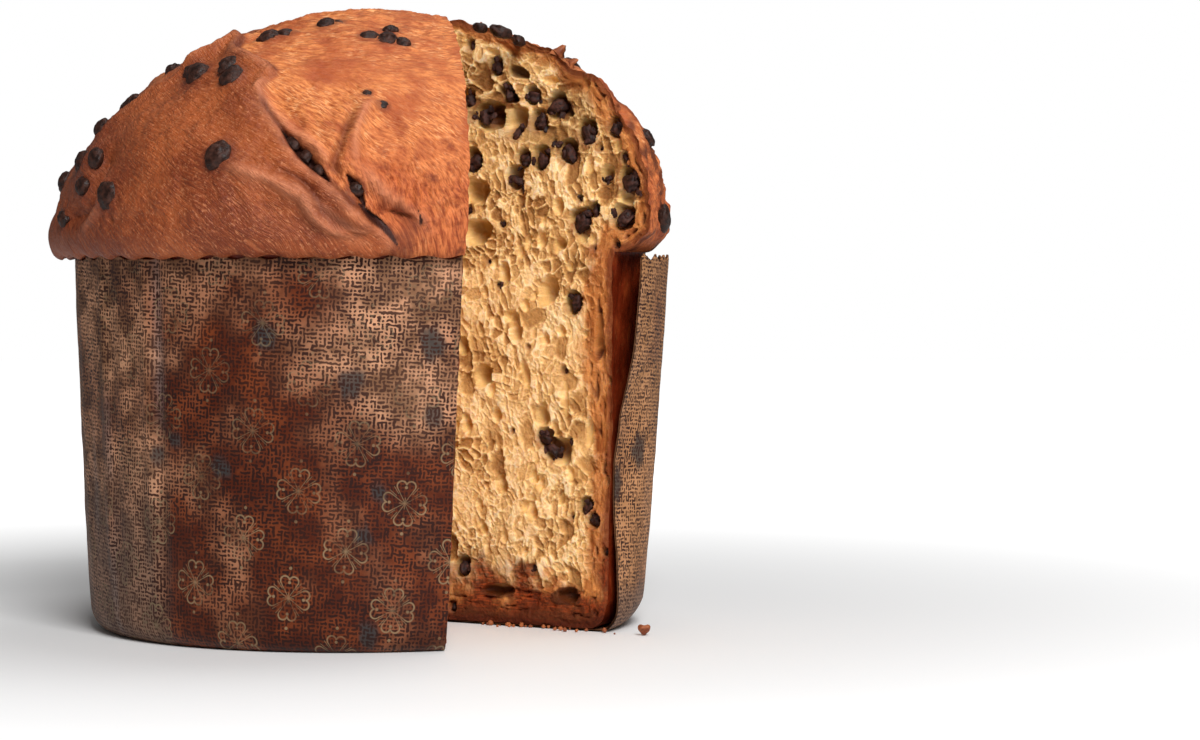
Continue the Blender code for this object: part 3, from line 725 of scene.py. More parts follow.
# %% [markdown]
# Crumb is foam that was stretched upwards as the dough rose and then torn by the knife. Three
# sizes of cells are laid over each other. Each cell is the region round one seeded dot, its
# wall is where two dots are equally near, and its depth is drawn at random. Bending the places
# first, with noise, keeps the cells from looking like a pattern.


# %% Foam
def foam(across, up, seed):
    """Wall distance, in cells, and a random number for the cell that each place lies in."""
    rng = np.random.default_rng(seed)
    jitter = rng.uniform(0.05, 0.95, (128, 128, 2))
    draw = rng.uniform(0.0, 1.0, (128, 128))
    column, row = np.floor(across).astype(int), np.floor(up).astype(int)
    first = np.full(across.shape, np.inf)
    second = np.full(across.shape, np.inf)
    drawn = np.zeros(across.shape)
    for over, above in itertools.product((-1, 0, 1), repeat=2):
        i, j = (column + over) % 128, (row + above) % 128
        gap = np.hypot(column + over + jitter[i, j, 0] - across, row + above + jitter[i, j, 1] - up)
        nearer = gap < first
        second = np.where(nearer, first, np.minimum(second, gap))
        drawn = np.where(nearer, draw[i, j], drawn)
        first = np.where(nearer, gap, first)
    return second - first, drawn


PORES = (  # width, height and depth of the cells in mm, share that is open, width of the wall
    (5.4, 9.0, 1.7, 0.30, 0.36), (2.6, 3.9, 1.05, 0.62, 0.24), (1.5, 2.1, 0.60, 0.85, 0.26),
)


def bent(across, up, seed):
    """Places moved by noise of two sizes, in mm."""
    flat = np.stack((across, up, 0.0 * up), axis=-1)
    moved = []
    for number, value in enumerate((across, up)):
        broad = soft_noise(flat, 7.5, seed + number)
        small = soft_noise(flat, 2.2, seed + number + 2)
        moved.append(value + 2.0 * broad + 0.45 * small)
    return moved


def pores(across, up, seed):
    """Depth in mm of foam of three sizes; inside a large pore the small ones hardly show."""
    depth = np.zeros(across.shape)
    room = np.ones(across.shape)
    across, up = bent(across, up, seed)
    for number, (wide, tall, deep, share, soft) in enumerate(PORES):
        wall, drawn = foam(across / wide, up / tall, seed + number)
        strength = np.clip((drawn - 1.0 + share) / share, 0.0, 1.0) ** 0.5
        hollow = strength * ease(wall, 0.03, soft)
        depth += room * deep * hollow
        room *= 1.0 - 0.72 * hollow
    return depth


# %% [markdown]
# The big bubbles of the right cut are placed one by one: distance from the apex, height, width,
# height of the bubble and tilt. Between them a seeded scatter adds middling ones. A bubble is
# half an egg pressed into the crumb, with a smooth wall, and every chip gets a small one. Some
# are so deep that hardly any light gets in, and those are listed again as caves, to darken them.

# %% Bubbles
BUBBLES_RIGHT = (  # distance from the apex, height, width, height of the bubble, tilt
    (13, 165, 8, 9, 10), (24.5, 157, 12, 10, 0), (35, 155.5, 8, 10, 20), (31, 163.5, 9, 4, 30),
    (50, 159.5, 10, 5.5, 30), (35, 170, 8, 4, 20), (20, 134, 11, 8, 0), (20, 121.5, 11, 8.5, 0),
    (66.5, 138.5, 5, 7, 0), (58, 122.5, 5, 11, 0), (73, 131, 5.5, 8, 0), (45.5, 103, 7, 10, 10),
    (64.5, 88.5, 4, 19, 0), (22.5, 77, 7, 8, 20), (43.5, 65, 4.5, 8, 0), (50.5, 54.5, 7, 9, 0),
    (27, 11, 12, 4, 0), (53, 10.5, 8, 5, 0),
)
SMALLER_RIGHT = (
    (25.5, 176.5, 6, 2.4, 14), (61, 142, 3.6, 5, 0), (49.5, 129, 4, 5.5, 0), (53, 110.5, 2.8, 3.8, 0),
    (50, 117.5, 4.6, 4.4, 0), (50.5, 91, 2.8, 3.8, 0), (14.5, 86, 4.6, 6, 0), (14.5, 18.5, 4.6, 3.4, 0),
    (37.5, 23.5, 2.6, 2.8, 0), (27.5, 65, 3.6, 5, 0), (34, 92, 5, 11, -8), (30, 108, 4, 8, 0),
    (12, 102, 5, 12, 0), (38, 78, 3.6, 9, -10), (17, 62, 4, 7, -10), (29, 44, 4, 6, -20),
    (52, 70, 3, 12, 0), (60, 60, 3, 10, 5), (40, 36, 4, 6, -25), (22, 30, 3.4, 5, -25),
)
CAVES_RIGHT = (
    (31, 163.5, 9, 4, 30), (50, 159.5, 10, 5.5, 30), (35, 170, 8, 4, 20), (24.5, 157.5, 9, 6, 0),
    (27, 10, 13, 4, 0), (52, 10, 11, 6, 0), (14, 17, 6, 3.5, 0), (72, 124, 5, 6, 0), (74, 135, 5, 7, 0),
)
CAVES_LEFT = ((40, 160, 9, 6, -30), (46, 16, 12, 5, 0))
BUBBLES_LEFT = (
    (22, 152, 12, 9, 10), (40, 160, 9, 6, -30), (55, 148, 7, 9, 0), (30, 128, 8, 10, 0),
    (60, 120, 6, 10, 0), (44, 104, 8, 12, 0), (20, 88, 7, 10, 10), (56, 78, 5, 11, 0),
    (34, 62, 8, 9, 0), (60, 44, 6, 9, 0), (26, 34, 8, 6, 0), (46, 16, 12, 5, 0),
)


def scattered_bubbles(seed, count):
    """Middling bubbles at seeded places, upright low down and flat under the dome."""
    rng = np.random.default_rng(seed)
    found = []
    for number in range(count):
        reach, height = rng.uniform(4, 74), rng.uniform(14, 172)
        small = rng.uniform(1.6, 3.4)
        tall = small * rng.uniform(1.2, 2.0)
        flat = height > 142 and reach < 48
        wide, up = (tall, small * 0.8) if flat else (small, tall)
        found.append((reach, height, wide, up, rng.uniform(12, 32) if flat else rng.uniform(-14, 14)))
    return tuple(found)


def chip_caves(chips):
    """A small bubble round each chip, a little above its middle."""
    return tuple((reach, height + 0.12 * size, size * 1.15, size * 1.3, 0) for reach, height, size in chips)


def bubble_depth(points, bubbles, seed):
    """Depth in mm of the bubbles at points in mm, and the share of smooth wall."""
    depth = np.zeros(len(points))
    wavy = soft_noise(np.append(points, points[:, :1] * 0.0, axis=1), 3.0, seed)
    for reach, height, wide, tall, tilt in bubbles:
        lean = math.radians(tilt)
        off = points - np.array((reach, height))
        wide_way = off[:, 0] * math.cos(lean) - off[:, 1] * math.sin(lean)
        tall_way = off[:, 0] * math.sin(lean) + off[:, 1] * math.cos(lean)
        inner = 1.0 - (2.0 * wide_way / wide) ** 2 - (2.0 * tall_way / tall) ** 2 + 0.35 * wavy
        deep = 0.8 * min(wide, tall) + (1.5 if min(wide, tall) > 3.9 else 0.3)
        depth = np.maximum(depth, deep * np.sqrt(np.clip(inner, 0.0, 1.0)))
    return depth, ease(depth, 0.3, 1.4)


# %% [markdown]
# Crumb under the dome was pressed flat against the crust, so its cells lie along the slope,
# while lower down they stand upright. The two kinds are worked out apart and faded into each
# other. Beside the crust the crumb toasted, in a band whose width changes along the outline,
# and its fibres run along the crust. Near the outline all relief fades out, to meet the crust.

# %% Surface of a cut
CRUMB_RELIEF = 0.0011
SPLIT_LEVEL = 0.094
FINE_STEP = 0.00031
COARSE_STEP = 0.0006
TOAST_BAND = (  # mm along the outline from the top, and how far in the crumb has toasted, in mm
    (0, 3.6), (22, 4.0), (50, 5.0), (75, 6.5), (92, 6.0), (110, 5.5), (118, 6.5), (138, 9.0), (165, 9.5),
    (190, 6.5), (215, 7.0), (235, 10.0), (248, 16.0), (262, 14.0), (300, 12.0), (340, 13.0),
)


def crumb_relief(places, seed):
    """Torn crumb: broad hollows and swellings of the cut surface, in metres."""
    broad = soft_noise(places, 0.015, seed)
    small = soft_noise(places, 0.0065, seed + 1)
    return CRUMB_RELIEF * (0.6 * broad + 0.6 * small)


def split_piece(name, places, faces, values):
    """Two pieces, upper and lower, from one fine surface, so that each stays light enough."""
    made = []
    high = places[faces][..., 2].mean(axis=1) > SPLIT_LEVEL
    for part, chosen in (("upper", faces[high]), ("lower", faces[~high])):
        used, new_faces = np.unique(chosen, return_inverse=True)
        kept = {label: numbers[used] for label, numbers in values.items()}
        new_faces = new_faces.reshape(chosen.shape)
        made.append(new_piece(f"{name}_{part}", places[used], new_faces.tolist(), kept))
    return made


def make_crumb(name, way, dome_column, side_column, seed, bubbles, chips, step):
    """One cut face of the loaf, with its pores, bubbles and the values that colour it."""
    along, into = cut_frame(way)
    skin_line, inner_line = cut_outline(way, dome_column, side_column)
    points, faces = fill_outline(skin_line, inner_line, step)
    lean = KNIFE_LEAN * (points[:, 1] - LEAN_LEVEL) if way == CUT_LEFT else np.zeros(len(points))
    flat = APEX + points[:, :1] * along + lean[:, None] * into
    places = np.concatenate((flat, points[:, 1:]), axis=-1)
    coarse = np.concatenate((skin_line[::3], skin_line[-1:]))
    rim, passed = (value / MM for value in gap_to_line(points, coarse))
    seam = np.minimum(rim, gap_to_line(points, inner_line[::4])[0] / MM)
    spots = points / MM
    across, up = spots[:, 0], spots[:, 1]
    still = 0.0 * up
    upright = pores(across + 0.16 * up, up, seed)
    slope = math.radians(24.0)
    sloped_across = across * math.sin(slope) + up * math.cos(slope)
    sloped_up = across * math.cos(slope) - up * math.sin(slope)
    sloped = pores(sloped_across, sloped_up, seed + 10)
    under_dome = ease(up + 0.35 * across, 160.0, 172.0) * (1.0 - ease(across, 48.0, 64.0))
    pore = upright * (1.0 - under_dome) + sloped * under_dome
    grain_across, grain_up = bent(across + 0.16 * up, up, seed + 40)
    flat_across, flat_up = bent(sloped_across, sloped_up, seed + 50)
    grain_across = grain_across * (1.0 - under_dome) + flat_across * under_dome
    grain_up = grain_up * (1.0 - under_dome) + flat_up * under_dome
    coarse_share = ease(soft_noise(np.stack((across, up, still), -1), 13.0, seed + 20), -0.35, 0.35)
    pore *= 0.62 + 0.5 * coarse_share
    big, smooth = bubble_depth(spots, bubbles, seed + 21)
    cave = bubble_depth(spots, CAVES_RIGHT if way == CUT_RIGHT else CAVES_LEFT, seed + 22)[0]
    band_at = np.array(TOAST_BAND, dtype=float)
    band = np.interp(passed, band_at[:, 0], band_at[:, 1])
    toast = 1.0 - rim / band + 0.32 * soft_noise(np.stack((across, up, still), -1), 3.5, seed + 22)
    strands = soft_noise(np.stack((passed / 4.0, rim / 1.1, still), -1), 1.0, seed + 23)
    strands += 0.5 * soft_noise(np.stack((passed / 1.6, rim / 0.6, still), -1), 1.0, seed + 24)
    in_band = ease(toast, 0.0, 0.5)
    tears = 1.0 - np.abs(soft_noise(np.stack((across * 1.0, up * 0.5, still), -1), 1.1, seed + 25)) * 2.0
    fluff = 0.04 * tears + 0.04 * soft_noise(np.stack((across, up, still), -1), 0.6, seed + 26)
    cracks = ease(strands, 0.45, 0.95) * ease(rim, 1.0, 2.0) * in_band
    depth = pore * (1.0 - 0.72 * in_band) * (1.0 - 0.8 * smooth) + big
    depth += (0.30 * strands + 1.3 * cracks) * in_band
    depth -= fluff * (1.0 - smooth)
    fade_in = ease(seam, 0.0, 1.1)
    offset = (crumb_relief(places, seed) - depth * MM) * fade_in
    ragged = EDGE_WOBBLE * soft_noise(places, 0.0022, 51) * (1.0 - fade_in)
    stain = np.zeros(len(points))
    for reach, height, size in chips:
        gap = np.hypot(across - reach, up - height)
        stain = np.maximum(stain, 1.0 - ease(gap, 0.40 * size, 0.78 * size))
    places[:, :2] += (offset + ragged)[:, None] * into
    # pore and bubble depth are kept for the colour, which paints deeper ones darker as painted shade
    shown = np.clip(pore / 3.0, 0.0, None) ** 0.75
    values = {"pore": shown, "cave": ease(cave, 0.6, 3.2), "big": big / 5.0, "smooth": smooth,
              "rim": rim, "toast": toast, "cracks": cracks, "passed": passed, "stain": stain,
              "across": grain_across, "up": grain_up}
    if way == CUT_RIGHT:
        faces = faces[:, ::-1]
    return split_piece(name, places, faces, values)


right_chips = CHIPS_RIGHT + SPECKS_RIGHT
right_bubbles = BUBBLES_RIGHT + SMALLER_RIGHT + scattered_bubbles(3, 60) + chip_caves(right_chips)
crumb_pieces = make_crumb("crumb_right", CUT_RIGHT, right_places[:, -1], side[:, -1], 31, right_bubbles,
                          right_chips, FINE_STEP)
left_bubbles = BUBBLES_LEFT + scattered_bubbles(4, 90) + chip_caves(CHIPS_LEFT)
crumb_pieces += make_crumb("crumb_left", CUT_LEFT, front_places[:, 0], side[:, 0], 21, left_bubbles,
                           CHIPS_LEFT, COARSE_STEP)

# %% [markdown]
# Now the chips themselves. A fine ball is squashed and gets lumps from noise, and for the crumb
# it is first made blocky by pulling its places towards the faces of a cube.


# %% Chocolate chips
def cut_place(way, reach, height, sideways):
    """A place on one of the cuts, in metres, from a reach and height in metres."""
    along, into = cut_frame(way)
    lean = KNIFE_LEAN * (height - LEAN_LEVEL) if way == CUT_LEFT else 0.0
    spot = APEX + along * reach + into * (sideways + lean)
    return np.array((spot[0], spot[1], height))


def crust_place(turn, bend):
    """A place on the broad form of the dome, and the way the crust faces there."""
    turn, bend = np.array([math.radians(turn)]), np.array([math.radians(bend)])
    spot = dome_place(turn, bend)
    way = outward(turn, bend)
    fade_here = np.clip((math.radians(150.0) - bend) / math.radians(50.0), 0.0, 1.0)
    return (spot + way * (dome_relief(spot) * fade_here)[:, None])[0], way[0]


def chip_ball(detail):
    """Unit ball of even triangles: its places and its faces."""
    bm = bmesh.new()
    bmesh.ops.create_icosphere(bm, subdivisions=detail, radius=0.5)
    places = np.array([vert.co for vert in bm.verts])
    faces = np.array([[vert.index for vert in face.verts] for face in bm.faces])
    bm.free()
    return places, faces


def spun(seed):
    """A seeded turn about all three axes."""
    angles = np.random.default_rng(seed).uniform(-math.pi, math.pi, 3)
    spin = Matrix.Rotation(angles[0], 3, "X") @ Matrix.Rotation(angles[1], 3, "Y")
    return np.array(spin @ Matrix.Rotation(angles[2], 3, "Z"))


def round_chip(ball, size, seed):
    """A chip of the dome: a lump with a wrinkled skin."""
    rough = 0.05 + 0.12 * (seed % 2 == 0)
    swell = 1.0 + 0.16 * soft_noise(ball + seed, 0.45, 61) + rough * soft_noise(ball + seed, 0.20, 62)
    wrinkle = 1.0 - 0.07 * np.abs(soft_noise(ball + seed, 0.11, 63))
    return (ball * (swell * wrinkle)[:, None] * np.array((1.08, 0.98, 0.90)) * size) @ spun(seed).T


def broken_chip(ball, size, seed, into):
    """A chip of the crumb: blocky, rough, and flattened where the knife passed."""
    blocky = np.sign(ball) * np.abs(ball * 2.0) ** 0.75 / 2.0
    swell = 1.0 + 0.42 * soft_noise(ball + seed, 0.38, 64) + 0.30 * soft_noise(ball + seed, 0.18, 65)
    swell = swell + 0.10 * soft_noise(ball + seed, 0.07, 66)
    shape = (blocky * swell[:, None] * np.array((1.05, 0.80, 0.60)) * size) @ spun(seed).T
    proud = shape @ into - 0.8 * CHIP_DEEP
    return shape - (np.clip(proud, 0.0, 1.0) * 0.75)[:, None] * into


def make_chips(name, spots, detail):
    """Chips as one mesh, from their places, sizes and the way that they face or are cut."""
    ball, ball_faces = chip_ball(detail)
    places, faces = [], []
    for number, (middle, size, facing, cut) in enumerate(spots):
        seed = 300 + number
        if cut:
            shape = broken_chip(ball, size, seed, facing)
        else:
            shape = round_chip(ball, size, seed)
            shape = shape - 0.38 * (shape @ facing)[:, None] * facing
        faces.append(ball_faces + number * len(ball))
        places.append(shape + middle)
    return new_piece(name, np.concatenate(places), np.concatenate(faces).tolist(), {})


crumb_spots = []
for way, chips_here in ((CUT_RIGHT, right_chips), (CUT_LEFT, CHIPS_LEFT)):
    into = np.append(cut_frame(way)[1], 0.0)
    for reach, height, size in chips_here:
        middle = cut_place(way, reach * MM, height * MM, -CHIP_DEEP)
        crumb_spots.append((middle, 0.78 * size * MM, into, True))
        for part in range(2):
            away = np.random.default_rng(len(crumb_spots)).uniform(-0.55, 0.55, 2) * size
            middle = cut_place(way, (reach + away[0]) * MM, (height + away[1]) * MM, -0.7 * CHIP_DEEP)
            crumb_spots.append((middle, 0.38 * size * MM, into, True))
dome_spots = []
for turn, bend, size in CHIPS_DOME:
    spot, facing = crust_place(turn, bend)
    stand = CHIP_STAND if size > 5.0 else CHIP_STAND_SMALL
    dome_spots.append((spot + facing * stand * size * MM, size * MM, facing, False))
dome_chips = make_chips("dome_chips", dome_spots, 4)
crumb_chips = make_chips("crumb_chips", crumb_spots, 3)

# %% [markdown]
# The case is one closed shell: up the outside, over the scalloped rim and down the inside. Real
# baking paper is stiff and takes folds, so the wall gets a few upright creases and faint waves.
# Its columns run between the two cuts, and its base fans in to the apex. How dry, greasy or
# smudged each part is, and where a painted sheen or highlight lies on it, is worked out here too
# and kept as values for the paper's colour.

# %% Paper case
SMUDGES = (  # turn in degrees, height, width and height of the smudge in mm
    (-88, 77.5, 8, 11), (-104.5, 91, 8, 9), (-73, 89, 8, 12), (-72.5, 68, 6, 6), (-129.5, 56, 6, 7),
    (-124.5, 61, 6, 6), (-114, 53, 7, 7), (-83, 46.5, 5, 7), (-86, 34, 6, 6), (-85, 5, 7, 8),
    (-12, 55, 8, 12), (-19, 44, 7, 11), (-40, 70, 8, 9), (150, 80, 8, 10), (130, 45, 8, 9),
    (95, 66, 7, 9), (60, 88, 8, 9), (45, 40, 7, 9), (10, 28, 7, 9), (170, 30, 7, 8),
)


CREASES = (  # turn in degrees, height in mm, negative where it is a furrow, and width in degrees
    (-131.5, 0.75, 1.6), (-128.5, -0.75, 1.3), (-147.0, 0.5, 1.6), (-143.5, -0.4, 2.0), (-160.0, 0.5, 2.5),
)


def paper_crease(turn, level):
    """Upright folds and waves of the paper wall, in metres."""
    places = np.stack((turn * 40.0, level * 400.0, 0.0 * level), axis=-1)
    waves = 0.18 * soft_noise(places, 3.0, 71) + 0.07 * soft_noise(places, 0.9, 72)
    for middle, height, width in CREASES:
        waves += height * bell(turned_apart(turn, middle), 0.0, width)
    return waves * MM * ease(level, 0.004, 0.03)


def case_edge(way, level):
    """Turn at which the wall ends on a cut, at each level."""
    ways_here = np.full_like(level, way)
    return meet(ways_here, level, lambda t: case_radius(t, level) + case_bulge(t, level))[1]


def paper_state(turn, up):
    """Shares of dry and smudged paper over the wall, of a painted grey sheen and of painted fold highlights.
    """
    away = turned_apart(turn, -90.0)
    flat = np.stack((turn * 87.0, up, 0.0 * up), axis=-1)
    mottle = soft_noise(flat, 17.0, 73) + 0.5 * soft_noise(flat, 7.0, 74)
    left = ease(-away, 35.0, 43.0) * (1.0 - ease(-away, 96.0, 118.0))
    upper_right = ease(away, -16.0, 8.0) * ease(up, 46.0, 78.0) * (1.0 - ease(away, 30.0, 50.0))
    strip = ease(away, 50.0, 62.0) * (1.0 - ease(away, 100.0, 120.0))
    rim_band = 0.45 * ease(up, 84.0, 104.0)
    rear = ease(np.abs(away), 96.0, 125.0) * ease(mottle, -0.2, 0.4)
    dry = np.maximum.reduce([0.9 * left, upper_right, strip, rim_band, rear])
    dry = np.clip(dry + 0.45 * mottle, 0.0, 1.0)
    # painted grey sheen on the lower left of the wall and at the foot of the right strip
    grey = np.maximum(left * ease(70.0 - up, 0.0, 50.0), strip * ease(16.0 - up, 0.0, 6.0))
    smudge = np.zeros_like(up)
    for middle, height, wide, tall in SMUDGES:
        ragged = 0.25 * soft_noise(flat, 1.6, 75)
        off = np.hypot(turned_apart(turn, middle) * 1.52 / wide, (up - height) / tall) * 2.0
        smudge = np.maximum(smudge, 1.0 - ease(off + ragged, 0.72, 1.08))
    broken = ease(soft_noise(np.stack((turn * 20.0, up / 14.0, 0.0 * up), -1), 1.0, 77), -0.5, 0.3)
    # painted highlights along the folds of the paper
    sheen = 0.9 * bell(turned_apart(turn, -128.4), 0.0, 1.3) * ease(up, 52.0, 80.0)
    sheen = np.maximum(sheen, 0.7 * bell(turned_apart(turn, -146.0), 0.0, 1.3) * (1.0 - ease(up, 60.0, 90.0)))
    sheen = np.maximum(sheen, 0.6 * bell(turned_apart(turn, -154.0), 0.0, 1.5) * (1.0 - ease(up, 50.0, 70.0)))
    sheen = np.maximum(sheen, 0.5 * bell(turned_apart(turn, -22.0), 0.0, 2.0) * ease(up, 40.0, 80.0))
    return dry, np.clip(grey, 0.0, 1.0), smudge, strip, sheen * broken


def make_case():
    """The whole shell with its print coordinates as values."""
    shares = np.linspace(0.0, 1.0, 600)
    wall = np.concatenate((np.linspace(0.0, 1.0, 12) ** 1.6 * BASE_CORNER, np.linspace(0.0105, 0.1105, 50)))
    fine = np.linspace(0.2, 1.0, 6)
    skins, turn_grid = [], []
    for inset in (0.0, PAPER):
        rows, turns_here = [], []
        for number in range(len(wall) + len(fine)):
            base = np.full_like(shares, wall[min(number, len(wall) - 1)])
            start = case_edge(CUT_LEFT, base)
            end = case_edge(CUT_RIGHT, base) - 2.0 * math.pi
            frayed = 0.0030 * soft_noise(np.stack((shares, base / MM, 0.0 * base), -1), 1.3, 76)
            start = start - np.abs(frayed)
            turn = start + (end - start) * shares
            tooth = (turn * SCALLOPS / (2.0 * math.pi)) % 1.0
            if number >= len(wall):
                rim = RIM_LEVEL - SCALLOP_DEPTH * 4.0 * tooth * (1.0 - tooth)
                base = base + (rim - base) * fine[number - len(wall)]
            out = case_radius(turn, base) + case_bulge(turn, base) + paper_crease(turn, base) - inset
            level = base + (inset if number == 0 else inset * 0.7 if number < 8 else 0.0)
            rows.append(np.stack((out * np.cos(turn), out * np.sin(turn), level), axis=-1))
            turns_here.append(turn)
        tip = np.append(apex_at(np.array(inset)), inset)
        fan = [rows[0] + (tip - rows[0]) * share for share in np.linspace(1.0, 0.0, 16)[:-1]]
        skins.append(np.stack(fan + rows))
        turn_grid.append(np.stack([turns_here[0]] * len(fan) + turns_here))
    places = np.concatenate((skins[0], skins[1][::-1]))
    turn = np.concatenate((turn_grid[0], turn_grid[1][::-1]))
    up = places[..., 2] / MM
    within = np.concatenate((np.zeros(skins[0].shape[:2]), np.ones(skins[1].shape[:2])))
    dry, grey, smudge, strip, sheen = paper_state(turn, up)
    values = {"around": turn * 87.0, "up": up, "within": within, "dry": dry, "grey": grey,
              "smudge": smudge, "strip": strip, "sheen": sheen}
    return sheet("baking_case", places, values)


case = make_case()

# %% [markdown]
# A few flakes of crust stand up along the edge of the cut, where the knife tore rather than cut,
# and crumbs lie at the foot of the loaf. A flake is a small curled grid with a ragged outline.


# %% Flakes and crumbs
FLAKES = (  # reach and height of the root, length, width in mm, lean in degrees
    (49.5, 175.6, 3.6, 5.0, 20), (53.0, 173.2, 2.6, 4.0, 60), (21, 184.2, 3.0, 1.8, 5),
    (69.5, 159.5, 1.8, 4.0, 75),
)


def flake(root, length, width, lean, way, seed):
    """Places and faces of one curled flake of crust with some thickness."""
    rng = np.random.default_rng(seed)
    along, into = cut_frame(way)
    flat = np.array((along[0], along[1], 0.0))
    wedge = np.array((into[0], into[1], 0.0))
    reach = flat * math.sin(math.radians(lean)) + np.array((0.0, 0.0, math.cos(math.radians(lean))))
    sideways = np.cross(reach, wedge)
    u, v = np.meshgrid(np.linspace(0.0, 1.0, 12), np.linspace(-0.5, 0.5, 9), indexing="ij")
    ragged = 1.0 + 0.35 * soft_noise(np.stack((u + seed, v, 0.0 * v), -1), 0.3, 81)
    taper = (1.0 - 0.75 * u ** 1.5) * ragged
    curl = rng.uniform(0.2, 0.5) * length * u ** 2 + 0.15 * width * np.cos(v * 4.0)
    sheet_places = root + reach * (u * length)[..., None] + sideways * (v * width * taper)[..., None]
    sheet_places = sheet_places + wedge * (curl * rng.choice((-1.0, 0.6)))[..., None]
    thick = 0.35 * MM * (1.0 - 0.6 * u)[..., None] * wedge
    both = np.concatenate((sheet_places + thick, (sheet_places - thick)[::-1]))
    rows, columns = both.shape[:2]
    spots = np.arange(rows * columns).reshape(rows, columns)
    corners = (spots[:-1, :-1], spots[1:, :-1], spots[1:, 1:], spots[:-1, 1:])
    return both.reshape(-1, 3), np.stack([corner.ravel() for corner in corners], axis=-1)


def make_flakes():
    """All flakes as one mesh."""
    places, faces, count = [], [], 0
    for number, (reach, height, length, width, lean) in enumerate(FLAKES):
        root = cut_place(CUT_RIGHT, reach * MM, (height - 1.2) * MM, -0.0006)
        spots, quads = flake(root, length * MM, width * MM, lean, CUT_RIGHT, 500 + number)
        places.append(spots)
        faces.append(quads + count)
        count += len(spots)
    return new_piece("crust_flakes", np.concatenate(places), np.concatenate(faces).tolist(), {})


def make_crumbs():
    """Small crumbs on the floor of the wedge and at the foot of the case."""
    ball, ball_faces = chip_ball(3)
    rng = np.random.default_rng(8)
    places, faces = [], []
    for number in range(26):
        size = rng.uniform(0.5, 1.6) * MM
        reach = rng.uniform(20, 74) * MM
        sideways = rng.uniform(0.4, 3.2) ** 1.5 * MM
        if number == 0:
            size, reach, sideways = 3.0 * MM, 80.5 * MM, 1.5 * MM
        middle = cut_place(CUT_RIGHT, reach, size * 0.42, sideways)
        shape = ball * (1.0 + 0.5 * soft_noise(ball + number, 0.4, 82))[:, None] * size
        spots = shape @ spun(number).T + middle
        spots[:, 2] -= spots[:, 2].min()
        places.append(spots)
        faces.append(ball_faces + number * len(ball))
    return new_piece("crumbs", np.concatenate(places), np.concatenate(faces).tolist(), {})


flakes = make_flakes()
crumbs = make_crumbs()

# %% [markdown]
# Materials are written as sums. A small class wraps one socket of a node, and adding or
# multiplying two of them adds the Math node that does it. Every other node comes from one
# method, which takes the kind of node, its settings and what its sockets get.


# %% Sockets as numbers
class Wire:
    """An output socket that can be added, multiplied and compared like a number."""

    def __init__(self, nodes, socket):
        self.nodes = nodes
        self.socket = socket

    def maths(self, operation, *values):
        return self.nodes.add("ShaderNodeMath", {"operation": operation}, dict(enumerate(values)))

    def __add__(self, other):
        return self.maths("ADD", self, other)

    def __sub__(self, other):
        return self.maths("SUBTRACT", self, other)

    def __rsub__(self, other):
        return self.maths("SUBTRACT", other, self)

    def __mul__(self, other):
        return self.maths("MULTIPLY", self, other)

    def __truediv__(self, other):
        return self.maths("DIVIDE", self, other)

    def __gt__(self, other):
        return self.maths("GREATER_THAN", self, other)

    def __lt__(self, other):
        return self.maths("LESS_THAN", self, other)

    def __abs__(self):
        return self.maths("ABSOLUTE", self)

    def least(self, other):
        return self.maths("MINIMUM", self, other)

    def most(self, other):
        return self.maths("MAXIMUM", self, other)

    def floor(self):
        return self.maths("FLOOR", self)

    def length(self, other):
        return self.maths("SQRT", self * self + other * other)

    __radd__ = __add__
    __rmul__ = __mul__


